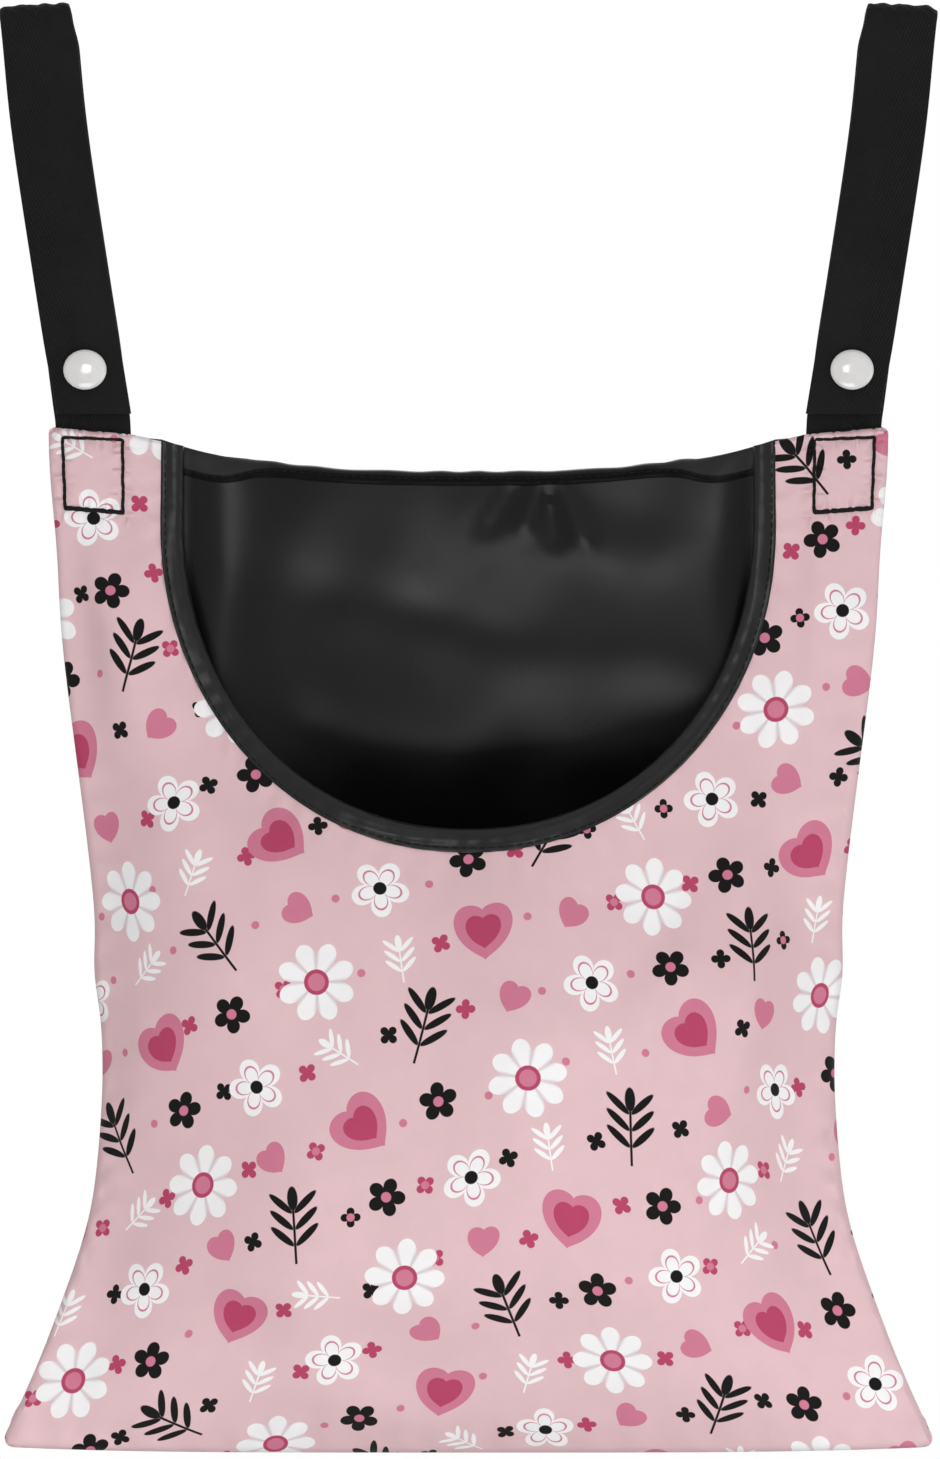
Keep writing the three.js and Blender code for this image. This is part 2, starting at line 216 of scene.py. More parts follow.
flowers = {
    "step": (29.0, 50.0), "tilt": 16.0,  # half-drop repeat of the large motifs, and its turn on the cloth
    "fillers": {"seed": 3.0, "shift": (7.0, 6.0), "turn": 0.0},
    "medium": {"seed": 11.0, "shift": (5.0, 4.0), "turn": 2.4},
    "large": {"seed": 27.0, "shift": (3.0, 3.0), "turn": 1.6},
    "floretSpin": 6.0, "inkBelow": 0.34, "ceriseAbove": 0.66,  # by the cell's third die
    # petals, radius, and the share of it left between petals
    "daisy": (8, 13.2, 0.6), "blossom": (5, 9.8, 0.5), "smallBlossom": (5, 6.4, 0.5),
    "floret": (4, 3.3, 0.42),
    "blossomLine": (2.6, 0.35),  # place in from the edge, and half its width
    "daisyEye": 4.2, "daisyCore": 2.9, "blossomEye": 2.2, "smallEye": 1.7, "dot": 1.35,  # radii
    "heart": 8.6, "heartCore": 0.6, "smallHeart": 4.6, "sprig": 1.0, "smallSprig": 0.62,
    # softness of the edges
    "soft": 0.14, "softLarge": 0.16, "softHeart": 0.04, "softLargeHeart": 0.025, "softCleft": 0.3,
    "ground": srgb(232, 197, 202), "white": srgb(252, 250, 251), "shade": srgb(218, 202, 207),
    "ink": srgb(14, 12, 13), "rose": srgb(213, 127, 153), "cerise": srgb(188, 72, 107),
}
sprigForm = {
    "slant": 0.8, "rung": 5.4,  # leaves slope up, one pair to a rung
    "leaf": (4.2, 3.9, 1.6), "tip": (10.2, 1.8, 4.0),  # place and half axes
    "stem": (0.42, 1.5, 10.0),  # half width, how low its middle is, half length
}


# Print of flowers, hearts and sprigs: each lattice cell holds one motif, drawn from its polar or folded
# coordinates in millimetres.
def flowerPrint():
    group, given, result = newGroup("flowerPrint", [("Cloth", "Vector", None)], [("Color", "Color")])
    u, v = clothPlace(group, given["Cloth"])
    tilt = math.radians(flowers["tilt"])
    u, v = u * math.cos(tilt) + v * math.sin(tilt), v * math.cos(tilt) - u * math.sin(tilt)
    stepU, stepV = flowers["step"]
    cellsBefore = 40  # keeps the cell numbers above 0
    soft, softLarge = flowers["soft"], flowers["softLarge"]
    paint = flowers["ground"]

    # cell numbers, and the place from the cell's middle
    def lattice(stepU, stepV, shiftU, shiftV, halfDrop):
        across = u + (shiftU + cellsBefore * stepU)
        column = (across / stepU).math("FLOOR")
        drop = column.math("MODULO", 2.0) * (stepV * halfDrop)
        down = v + (drop + (shiftV + cellsBefore * stepV))
        row = (down / stepV).math("FLOOR")
        return column, row, across - (column + 0.5) * stepU, down - (row + 0.5) * stepV

    # the place in a cell moved and turned by the cell's dice, its polar form, and the third die
    def scattered(column, row, x, y, look):
        place = nodeWire(group, "ShaderNodeCombineXYZ", {0: column, 1: row, 2: look["seed"]})
        cast = nodeWire(group, "ShaderNodeTexWhiteNoise", {0: place}, 1, noise_dimensions="3D")
        dice = addNode(group, "ShaderNodeSeparateColor", {0: cast}).outputs
        first, second, third = (Wire(group, die) for die in dice)
        x, y = x + (first - 0.5) * look["shift"][0], y + (second - 0.5) * look["shift"][1]
        if look["turn"]:
            angle = (third - 0.5) * look["turn"]
            cosine, sine = angle.math("COSINE"), angle.math("SINE")
            x, y = x * cosine + y * sine, y * cosine - x * sine
        return x, y, (x * x + y * y).math("SQRT"), y.math("ARCTAN2", x), third

    # below 0 inside a flower, whose radius swings with a power of a cosine, once for each petal
    def petals(r, angle, count, radius, waist):
        lobe = (angle * (count / 2)).math("COSINE").math("ABSOLUTE") ** 0.7
        return r - (lobe * (1 - waist) + waist) * radius

    # below 0 inside a heart: a circle lifted by a power of the distance across
    def heart(x, y, radius):
        a, b = x.math("ABSOLUTE") / radius, y / radius + 0.12
        return a * a + b * b - 1.0 - a ** 0.6667 * b

    # below 0 inside an ellipse
    def oval(a, b, halfA, halfB):
        return (a / halfA) ** 2.0 + (b / halfB) ** 2.0 - 1.0

    # below 0 inside a sprig: three pairs of oval leaves on sloping rungs, an oval tip and a straight stem
    def sprig(x, y, scale):
        a, b = x.math("ABSOLUTE") / scale, y / scale
        slope = b - a * sprigForm["slant"]
        rung = (slope / sprigForm["rung"]).math("ROUND").math("MINIMUM", 1.0).math("MAXIMUM", -1.0)
        reach, leafA, leafB = sprigForm["leaf"]
        top, tipA, tipB = sprigForm["tip"]
        half, low, length = sprigForm["stem"]
        leaf = oval(a - reach, slope - rung * sprigForm["rung"], leafA, leafB)
        tip = oval(a, b - top, tipA, tipB)
        stem = (a - half).math("MAXIMUM", (b + low).math("ABSOLUTE") - length)
        return leaf.math("MINIMUM", tip).math("MINIMUM", stem)

    # colour over what is painted so far
    def lay(mask, colour):
        nonlocal paint
        paint = mixColour(group, mask, paint, colour)

    # 1 where a cell's kind is the given number
    isKind = lambda kind, number: kind.math("COMPARE", float(number), 0.25)

    # small fillers between the motifs
    cell = lattice(stepU, stepV / 2, stepU / 2, stepV / 4, 0.0)
    _, _, r, angle, die = scattered(*cell, flowers["fillers"])
    floret = inked(petals(r, angle + die * flowers["floretSpin"], *flowers["floret"]), soft)
    lay(floret * die.math("LESS_THAN", flowers["inkBelow"]), flowers["ink"])
    lay(floret * die.math("GREATER_THAN", flowers["ceriseAbove"]), flowers["cerise"])
    lay(inked(r - flowers["dot"], soft) * isKind(die, 0.5), flowers["rose"])

    # medium motifs, midway between the large ones of a column
    column, row, x, y = lattice(stepU, stepV, 0.0, stepV / 2, 0.5)
    x, y, r, angle, _ = scattered(column, row, x, y, flowers["medium"])
    kind = (column * 2.0 + row).math("MODULO", 3.0)
    lay(inked(sprig(x, y, flowers["smallSprig"]), soft) * isKind(kind, 0), flowers["white"])
    lay(inked(heart(x, y, flowers["smallHeart"]), flowers["softHeart"]) * isKind(kind, 1), flowers["rose"])
    lay(inked(petals(r, angle, *flowers["smallBlossom"]), soft) * isKind(kind, 2), flowers["ink"])
    lay(inked(r - flowers["smallEye"], soft) * isKind(kind, 2), flowers["rose"])

    # large motifs
    column, row, x, y = lattice(stepU, stepV, 0.0, 0.0, 0.5)
    x, y, r, angle, _ = scattered(column, row, x, y, flowers["large"])
    kind = (column + row * 2.0).math("MODULO", 4.0)
    daisy = inked(petals(r, angle, *flowers["daisy"]), softLarge) * isKind(kind, 0)
    cleft = inked((angle * 4.0).math("COSINE").math("ABSOLUTE") - 0.34, flowers["softCleft"]) * 0.8
    lay(daisy, mixColour(group, cleft, flowers["white"], flowers["shade"]))
    lay(inked(r - flowers["daisyEye"], softLarge) * isKind(kind, 0), flowers["cerise"])
    lay(inked(r - flowers["daisyCore"], softLarge) * isKind(kind, 0), flowers["rose"])
    lay(inked(sprig(x, y, flowers["sprig"]), soft) * isKind(kind, 1), flowers["ink"])
    lay(inked(heart(x, y, flowers["heart"]), flowers["softLargeHeart"]) * isKind(kind, 2), flowers["rose"])
    core = heart(x, y, flowers["heart"] * flowers["heartCore"])
    lay(inked(core, flowers["softHeart"]) * isKind(kind, 2), flowers["cerise"])
    blossom = petals(r, angle, *flowers["blossom"])
    place, half = flowers["blossomLine"]
    lay(inked(blossom, softLarge) * isKind(kind, 3), flowers["white"])
    lay(inked((blossom + place).math("ABSOLUTE") - half, soft) * isKind(kind, 3), flowers["rose"])
    lay(inked(r - flowers["blossomEye"], soft) * isKind(kind, 3), flowers["ink"])
    feed(group, result["Color"], paint)
    return group


# Group that reads the flat cloth and gives a height for bump and a shade, a factor near 1, for colour.
def threadGroup(name, *inputs):
    return newGroup(name, [("Cloth", "Vector", None), *inputs], [("Height", "Float"), ("Shade", "Float")])


# Plain weave: crossed sine waves at the thread pitch, with slow noise for uneven thread.
def weaveGroup():
    group, given, result = threadGroup("weave", ("Pitch", "Float", 0.5), ("Slub", "Float", 0.1))
    u, v = clothPlace(group, given["Cloth"])
    wave = lambda place: (place * wholeTurn / given["Pitch"]).math("SINE")
    uneven = (noise(group, given["Cloth"], 90.0, 4.0) - 0.5) * given["Slub"]
    feed(group, result["Height"], wave(u) * wave(v) * 0.5 + uneven * 2.0 + 0.5)
    feed(group, result["Shade"], uneven + 1.0)
    return group


twillLook = {
    "slub": (160.0, 5.0), "worn": (45.0, 2.0),  # scale and detail of the noise
    "weft": 0.7, "wander": 14.0, "fade": 5.0, "faint": 0.25,  # faint: ribs left on the inner half
}


# Twill: slanted ribs at the pitch, broken across by the weft and clearest on the outer half of the strap.
def twillGroup():
    group, given, result = threadGroup("twill", ("Pitch", "Float", 1.25), ("Slant", "Float", 0.45))
    u, v = clothPlace(group, given["Cloth"])
    uneven = noise(group, given["Cloth"], *twillLook["slub"]) - 0.5
    border = (noise(group, given["Cloth"], *twillLook["worn"]) - 0.5) * -twillLook["wander"] - u - 1.0
    clear = inked(border, twillLook["fade"]) * (1 - twillLook["faint"]) + twillLook["faint"]
    rib = ((u + v * given["Slant"] + uneven * 0.8) * wholeTurn / given["Pitch"]).math("SINE") * clear
    weft = (v * (wholeTurn / twillLook["weft"])).math("SINE")
    feed(group, result["Height"], rib * 0.4 + weft * 0.15 + uneven * 0.5 + 0.5)
    feed(group, result["Shade"], rib * 0.55 + uneven * 0.7 + 1.0)
    return group


edgeTone = {
    "upright": 66.0, "soft": 10.0, "lip": 2.6, "lipSoft": 0.5,  # where the tones meet along and round it
    # painted shadow along the lower lip, the band's darker middle tone, and painted sheen on the upright ends
    "lipShadowColour": srgb(9, 9, 10), "rolledColour": srgb(30, 30, 31), "uprightSheenColour": srgb(48, 48, 49),
}


# Colour of the back's edge band: painted shadow along its lower lip, a darker tone where it rolls back, and
# painted sheen where it stands upright at its ends. The flat map runs round the band and along it.
def edgeShadeAndSheen():
    group, given, result = newGroup("edgeShadeAndSheen", [("Cloth", "Vector", None)], [("Color", "Color")])
    around, along = clothPlace(group, given["Cloth"])
    rolled = inked(along.math("ABSOLUTE") - edgeTone["upright"], edgeTone["soft"])
    # painted sheen lightens the upright ends, and painted shadow darkens the lower lip
    lip = inked(around - edgeTone["lip"], edgeTone["lipSoft"])
    shade = mixColour(group, rolled, edgeTone["uprightSheenColour"], edgeTone["rolledColour"])
    feed(group, result["Color"], mixColour(group, lip, shade, edgeTone["lipShadowColour"]))
    return group


# Material with its shader's plain sockets set.
def newMaterial(name, sockets):
    material = bpy.data.materials.new(name)
    material.use_nodes = True
    shader = material.node_tree.nodes["Principled BSDF"]
    for key, value in sockets.items():
        shader.inputs[key].default_value = value
    return material, material.node_tree, shader.inputs


# Cloth material: colour times the weave's shade, roughness that wanders about its value, and bump from the
# weave's height. The groups read the piece's own flat map.
def clothMaterial(name, colour, group, groupValues, rough, bump, **sockets):
    labels = {"specular": "Specular IOR Level", "sheen": "Sheen Weight", "sheenRough": "Sheen Roughness"}
    material, tree, slots = newMaterial(name, {labels[key]: value for key, value in sockets.items()})
    flat = nodeWire(tree, "ShaderNodeUVMap", uv_map="flat")
    threads = addNode(tree, "ShaderNodeGroup", {"Cloth": flat, **groupValues}, node_tree=group)
    height, shade = (Wire(tree, threads.outputs[key]) for key in ("Height", "Shade"))
    if isinstance(colour, tuple):
        colour = colour[:3]
    else:
        colour = nodeWire(tree, "ShaderNodeGroup", {"Cloth": flat}, "Color", node_tree=colour)
    shaded = nodeWire(tree, "ShaderNodeVectorMath", {0: colour, "Scale": shade}, operation="SCALE")
    feed(tree, slots["Base Color"], shaded)
    feed(tree, slots["Roughness"], (noise(tree, flat, 35.0, 3.0) - 0.5) * 0.2 + rough)
    rise = {"Strength": 1.0, "Distance": bump * millimetre, "Height": height}
    feed(tree, slots["Normal"], nodeWire(tree, "ShaderNodeBump", rise))
    return material


weave, twill = weaveGroup(), twillGroup()
printedCloth = clothMaterial("printed cloth", flowerPrint(), weave, {"Pitch": 0.55, "Slub": 0.1},
                             rough=0.72, bump=0.05, specular=0.12, sheen=0.07, sheenRough=0.4)
liningCloth = clothMaterial("black lining", srgb(10, 10, 11), weave, {"Pitch": 0.45, "Slub": 0.25},
                            rough=0.3, bump=0.01, specular=0.152, sheen=0.02, sheenRough=0.35)
bindingTape = clothMaterial("binding tape", srgb(15, 15, 16), weave, {"Pitch": 0.6, "Slub": 0.3},
                            rough=0.3, bump=0.02, specular=0.24, sheen=0.05, sheenRough=0.35)
# the edge tape's colour carries a painted shadow along its lip and a painted sheen on its upright ends
edgeTape = clothMaterial("edge tape", edgeShadeAndSheen(), weave, {"Pitch": 0.6, "Slub": 0.3},
                         rough=0.3, bump=0.02, specular=0.05, sheen=0.03, sheenRough=0.35)
strapWebbing = clothMaterial("black webbing", srgb(20, 19, 20), twill, {"Pitch": 1.05, "Slant": 0.3},
                             rough=0.8, bump=0.2, specular=0.14, sheen=0.03, sheenRough=0.5)
blackThread = clothMaterial("black thread", srgb(15, 14, 15), twill, {"Pitch": 0.5, "Slant": 0.6},
                            rough=0.6, bump=0.05, specular=0.12)

plastic = {
    "dull": srgb(220, 219, 217), "bright": srgb(233, 232, 230), "smooth": 0.07, "rougher": 0.1,
    "haze": (260.0, 4.0), "dimple": 0.04,
}


# White moulded plastic: a faint haze in colour, roughness and bump from noise on object coordinates.
def plasticMaterial():
    material, tree, slots = newMaterial("white plastic", {"Specular IOR Level": 0.5})
    haze = noise(tree, nodeWire(tree, "ShaderNodeTexCoord", output="Object"), *plastic["haze"])
    feed(tree, slots["Base Color"], mixColour(tree, haze, plastic["dull"], plastic["bright"]))
    feed(tree, slots["Roughness"], haze * plastic["rougher"] + plastic["smooth"])
    rise = {"Strength": 0.3, "Distance": plastic["dimple"] * millimetre, "Height": haze}
    feed(tree, slots["Normal"], nodeWire(tree, "ShaderNodeBump", rise))
    return material


whitePlastic = plasticMaterial()
print("materials ready")


# The bag's form, the same as its solids: an outline, and how far the cloth stands out from the flat bag.
bag = {
    "height": 340.5, "topWidth": 280.0, "waistWidth": 244.0, "bottomWidth": 313.0, "waistDrop": 214.0,
    "flatDrop": 34.0, "corner": 5.0, "earCorner": 2.2, "bottomLift": 2.0, "flare": 1.85, "earTop": -137.303,
    "earSlope": math.tan(math.radians(5.0)), "strapX": 125.3, "frontBelly": 50.0, "backBelly": 32.0,
    "across": 2.3, "down": 3.0, "backBow": 8.0, "backBowDrop": 120.0, "backDip": 12.5, "backSink": 0.7,
    # inner part of each ear, which hangs lower
    "sagFrom": 113.0, "sagRun": 20.0, "sagSlope": 0.135, "sagFade": 45.0,
    "drift": [(40.0, 22.0, -1.2), (181.0, 13.0, 1.6), (262.0, 22.0, -1.3)],  # slack edges: drop, run, reach
}
mouth = {"width": 189.6, "shoulder": 29.7, "depth": 132.2, "roundness": 2.1, "outer": 102.3}
# offsets from the bag's middle, walls, and how far in from the seam or the ear's top the cloth turns under
layer = {
    "cloth": 2.6, "lining": 1.5, "middle": 1.85, "seam": 0.02, "ear": 1.0,
    "clothWall": 0.45, "liningWall": 0.3, "seamTurn": 2.6, "earTurn": 1.8,
}


# Half a cosine wave, from 0 to 1.
def ease(share):
    return 0.5 - 0.5 * np.cos(np.pi * np.clip(share, 0, 1))


# Quarter of a circle, from 0 to 1.
def quarterRound(share):
    return np.sqrt(np.maximum(0, 1 - (1 - np.clip(share, 0, 1)) ** 2))


# Bell of height 1 about a place, falling off over the run.
def bell(value, run, place=0.0):
    return np.exp(-(((value - place) / run) ** 2))


# Sine wave whose phase sways along it by a slower sine, so that its length keeps changing.
def unevenWave(place, length, sway, swayRun, start=0.0):
    return np.sin(wholeTurn * place / length + sway * np.sin(place / swayRun + start))


# Half the width at a depth below the ears: eased in to the waist, then a power curve out to the bottom, with
# round corners at both ends and a few bells for the slack edge.
def halfWidth(drop):
    below = np.clip((drop - bag["waistDrop"]) / (bag["height"] - bag["waistDrop"]), 0, 1)
    upper = (bag["topWidth"] - bag["waistWidth"]) * ease(1 - drop / bag["waistDrop"])
    lower = (bag["bottomWidth"] - bag["waistWidth"]) * below ** bag["flare"]
    past = np.clip(drop - (bag["height"] - bag["corner"]), 0, bag["corner"])
    above = np.clip(bag["earCorner"] - drop, 0, bag["earCorner"])
    rounded = np.sqrt(bag["corner"] ** 2 - past**2) - bag["corner"]
    rounded = rounded + np.sqrt(bag["earCorner"] ** 2 - above**2) - bag["earCorner"]
    drift = sum(reach * bell(drop, run, place) for place, run, reach in bag["drift"])
    return (bag["waistWidth"] + np.where(below > 0, lower, upper)) / 2 + rounded + drift


# Height of the bottom seam, lifted to its corners by a power curve.
def bottomLine(x):
    return bag["earTop"] - bag["height"] + bag["bottomLift"] * np.abs(2 * x / bag["bottomWidth"]) ** 4


# Height of the ears' top edges, a straight slope.
def earLine(x):
    return bag["earTop"] + (np.abs(x) - bag["strapX"]) * bag["earSlope"]


# Depth below the ears, measured so that the bottom seam is at the bag's full height everywhere.
def dropAt(x, z):
    return bag["height"] * (bag["earTop"] - z) / (bag["earTop"] - bottomLine(x))


# Height of a place once the ear hangs: a straight fall from the strap to the mouth, gone further down.
def sagged(x, z):
    fall = bag["sagSlope"] * np.clip(bag["sagFrom"] - np.abs(x), 0, bag["sagRun"])
    return z - fall * (1 - ease(dropAt(x, z) / bag["sagFade"]))


# Zero along the seams and on the ears, and a full belly at the waist: a power curve across, an eased rise
# from the ears and a power curve down to the bottom.
def belly(size, x, z):
    drop = dropAt(x, z)
    across = 1 - np.minimum(1, np.abs(x) / halfWidth(np.maximum(0, drop))) ** bag["across"]
    rise = ease((drop - bag["flatDrop"]) / (bag["waistDrop"] - bag["flatDrop"]))
    fall = 1 - np.clip((drop - bag["waistDrop"]) / (bag["height"] - bag["waistDrop"]), 0, 1) ** bag["down"]
    return size * across * rise * fall


# Distances in from the side seam and up from the bottom seam.
def seamDistances(x, z):
    return halfWidth(np.clip(dropAt(x, z), 0, bag["height"])) - np.abs(x), z - bottomLine(x)


# Sum of soft creases. Each runs between two [x, z] points: a bell across it of the given width, fading past
# its ends, raised by the given height, or sunk where that is below 0.
def creases(strokes, x, z):
    total = np.zeros_like(x)
    for startX, startZ, endX, endZ, width, height in strokes:
        runX, runZ = endX - startX, endZ - startZ
        length = math.hypot(runX, runZ)
        along = ((x - startX) * runX + (z - startZ) * runZ) / length**2
        away = ((x - startX) * runZ - (z - startZ) * runX) / length
        past = np.maximum(0, np.abs(along - 0.5) - 0.5) * length
        fade = 1.6 * width
        total = total + height * np.exp(-((away / width) ** 2) - (past / fade) ** 2)
    return total


# Gentle unevenness: sine waves of about one length in seeded directions.
def rumple(x, z, seed, wave, height):
    count = 7
    total = np.zeros_like(x)
    for angle, phase, stretch in np.random.default_rng(seed).random((count, 3)):
        length = wave * (0.7 + 0.8 * stretch)
        bearing = math.pi * angle
        across = x * math.cos(bearing) + z * math.sin(bearing)
        total = total + np.sin(wholeTurn * (across / length + phase))
    return height * total / count**0.5


# reach: how far in from the seam they run. shut: where they set in, so that the seam stays closed.
gathers = {
    "side": {"height": 0.75, "length": 12.5, "swayRun": 21.0, "reach": 10.0, "shut": 4.0},
    "foot": {"height": 0.7, "length": 13.5, "swayRun": 24.0, "reach": 14.0, "shut": 5.0},
    "sway": 2.4, "earsFree": 30.0,  # none on the ears, down to this drop
}


# Gathers along the seams: waves that run along the seam, nothing on its line so that it stays shut, and die
# out away from it.
def seamGathers(x, z, seed):
    side, foot = seamDistances(x, z)
    settled = ease((dropAt(x, z) - gathers["earsFree"]) / gathers["earsFree"])
    total = 0
    for along, away, look, share in ((z, side, gathers["side"], settled), (x, foot, gathers["foot"], 1.0)):
        wave = unevenWave(along, look["length"], gathers["sway"], look["swayRun"], seed)
        wave = wave * bell(away, look["reach"])
        total = total + look["height"] * wave * share * ease(away / look["shut"])
    return total


frontFolds = [
    # x, z at one end, x, z at the other, width, height
    [-128, -186, -112, -214, 9.0, 1.4],
    [-104, -190, -96, -226, 6.0, 1.6],
    [116, -166, 114, -232, 5.0, 1.8],
    [104, -196, 101, -240, 6.0, 1.2],
    [-116, -209, -106, -171, 8.0, 2.3],
    [-113, -223, -123, -185, 8.0, 2.3],
    [-99, -261, -115, -203, 18.0, 2.9],
    [52, -299, 87, -249, 18.0, -2.9],
    [-86, -303, -102, -245, 18.0, 2.9],
    [115, -303, 100, -245, 18.0, -2.4],
    [87, -312, 137, -312, 12.0, 1.8],
    [53, -318, 75, -286, 8.0, -1.8],
    [-86, -320, -52, -270, 18.0, 2.5],
    [92, -322, 92, -282, 8.0, 1.7],
    [24, -324, 40, -266, 18.0, 2.3],
    [27, -337, 87, -337, 18.0, 2.3],
    [-115, -345, -99, -287, 18.0, 1.5],
    [-26, -345, -11, -287, 18.0, -2.9],
    [87, -349, 97, -311, 8.0, 1.8],
    [-36, -387, -52, -329, 18.0, -2.9],
    [74, -387, 90, -329, 18.0, 2.9],
    [-77, -408, -61, -350, 18.0, -2.2],
    [-26, -408, -11, -350, 18.0, -1.8],
    [-124, -425, -90, -375, 18.0, -2.5],
    [24, -425, -11, -375, 18.0, -2.2],
    [128, -429, 112, -371, 18.0, -2.9],
    [-123, -435, -73, -435, 12.0, -2.5],
    [-61, -442, -1, -442, 18.0, -2.5],
    [-11, -442, 49, -442, 18.0, -2.2],
    [-42, -455, -71, -415, 12.0, 1.6],
    [-138, -459, -126, -411, 12.0, -2.0],
    [150, -467, 115, -417, 18.0, -2.2],
]
backFolds = [
    [-112, -165, -104, -235, 40.0, -8.5],
    [112, -165, 108, -235, 28.0, -5.5],
    [-24, -190, 14, -193, 24.0, -1.5],
    [56, -186, 86, -189, 19.0, -2.2],
    [-66, -208, -62, -228, 14.0, 1.8],
    [24, -156, 19, -168, 3.0, -1.2],
    [30, -156, 38, -172, 3.6, -1.3],
    [13, -158, 7, -168, 3.6, 0.9],
    [27, -157, 29, -172, 3.0, 1.1],
    [36, -214, 70, -210, 18.0, -2.0],
    [-70, -280, -76, -400, 13.0, 3.0],
    [72, -270, 84, -390, 13.0, 3.0],
    [10, -300, 16, -410, 18.0, 2.4],
    [-110, -250, -104, -350, 8.0, -3.0],
    [112, -250, 106, -360, 8.0, -3.0],
]
drape = {
    "side": 16.0, "foot": 20.0,  # the folds are free this far from the seams
    "frontEar": (14.0, 32.0), "backEar": (10.0, 30.0),  # drop at which they set in, and the run to full
    "frontRumple": (5, 44, 0.5), "backRumple": (9, 46, 0.5),  # seed, wave, height
    "backMiddle": (100.0, 18.0),  # the back's folds are free up to its top edge between the ears
    "room": 0.6, "least": 0.05,  # how deep a fold may sink, as a share of the belly
    "mouthRoom": 14.0, "mouthHalf": 93.0, "mouthFoot": (-262.0, 30.0),  # more room behind the open mouth
}


# Share of the folds that the seams leave free.
def seamFree(x, z):
    side, foot = seamDistances(x, z)
    return ease(side / drape["side"]) * ease(foot / drape["foot"])


# Folds, with what is sunk held to the room there is, so that front and back stay apart.
def heldFolds(folds, room):
    return np.where(folds < 0, room * np.tanh(folds / room), folds)


# How far the front cloth stands out towards -Y: its belly and its folds.
def frontOut(x, z):
    start, run = drape["frontEar"]
    free = seamFree(x, z) * ease((dropAt(x, z) - start) / run)
    full = belly(bag["frontBelly"], x, z)
    folds = creases(frontFolds, x, z) + rumple(x, z, *drape["frontRumple"])
    return full + heldFolds(free * folds, drape["room"] * full + drape["least"])


# How far the back cloth stands out towards +Y: its belly, a bow behind the mouth, and its folds.
def backOut(x, z):
    middle = np.maximum(0, 1 - (x / mouth["outer"]) ** 2) ** 2
    fading = np.clip(1 - (bag["earTop"] - z) / bag["backBowDrop"], 0, 1) ** 2
    bowed = belly(bag["backBelly"], x, z) + bag["backBow"] * middle * fading
    start, run = drape["backEar"]
    end, endRun = drape["backMiddle"]
    free = np.maximum(ease((dropAt(x, z) - start) / run), ease((end - np.abs(x)) / endRun))
    folds = creases(backFolds, x, z) + rumple(x, z, *drape["backRumple"])
    low, lowRun = drape["mouthFoot"]
    inMouth = np.maximum(0, 1 - (x / drape["mouthHalf"]) ** 2) * ease((z - low) / lowRun)
    room = drape["room"] * bowed + drape["mouthRoom"] * inMouth + drape["least"]
    return bowed + heldFolds(seamFree(x, z) * free * folds, room)


clothOut = {-1: frontOut, 1: backOut}  # by the side that the cloth faces on Y


# Cloth coordinates: distance along the surface across the bag and down it, summed on a lookup grid and read
# between its points.
def flatMap(standOut, x, z):
    step = 2.0
    gridX, gridZ = np.arange(-164, 165, step), np.arange(-484, -129, step)
    y = standOut(*np.meshgrid(gridX, gridZ, indexing="ij"))
    summed = lambda axis: np.cumsum(np.sqrt(1 + np.gradient(y, step, axis=axis) ** 2), axis=axis) * step
    alongX, alongZ = summed(0), summed(1)
    alongX = alongX - alongX[len(gridX) // 2]
    alongZ = alongZ - alongZ[:, -1:]
    placeX = np.clip((x - gridX[0]) / step, 0, len(gridX) - 1.001)
    placeZ = np.clip((z - gridZ[0]) / step, 0, len(gridZ) - 1.001)
    i, j = placeX.astype(int), placeZ.astype(int)
    a, b = placeX - i, placeZ - j

    # a table's value between its points
    def read(table):
        before = (1 - b) * table[i, j] + b * table[i, j + 1]
        after = (1 - b) * table[i + 1, j] + b * table[i + 1, j + 1]
        return (1 - a) * before + a * after

    return asPoints(read(alongX), read(alongZ))


# Points at the given distances along a line.
def alongLine(x, z, distance):
    length = np.append(0, np.cumsum(np.hypot(np.diff(x), np.diff(z))))
    return np.interp(distance, length, x), np.interp(distance, length, z)


# Sum of a line's steps.
def lineLength(x, z):
    return np.hypot(np.diff(x), np.diff(z)).sum()


# The U of the mouth at a distance outside its clear width: straight sides, then half a superellipse.
def mouthLine(outside):
    angle = np.linspace(0, math.pi, 900)
    power = 2 / mouth["roundness"]
    across = mouth["width"] / 2 + outside
    down = mouth["depth"] - mouth["shoulder"] + outside
    x = -across * np.sign(np.cos(angle)) * np.abs(np.cos(angle)) ** power
    z = bag["earTop"] - mouth["shoulder"] - down * np.maximum(0, np.sin(angle)) ** power
    top = earLine(across)
    return np.concatenate([[-across], x, [across]]), np.concatenate([[top], z, [top]])


# The outline below the ears, from the left ear down, along the bottom and up to the right ear. The inset
# lifts the sides only at their foot.
def outline(inset):
    drop = np.linspace(0, bag["height"], 1200)
    x = halfWidth(drop) - inset
    share = drop / bag["height"]
    z = earLine(x) + share * (bottomLine(x) - earLine(x)) + inset * share**40
    footX = np.linspace(-x[-1], x[-1], 400)
    footZ = bottomLine(footX) + inset
    return np.concatenate([-x, footX[1:-1], x[::-1]]), np.concatenate([z, footZ[1:-1], z[::-1]])


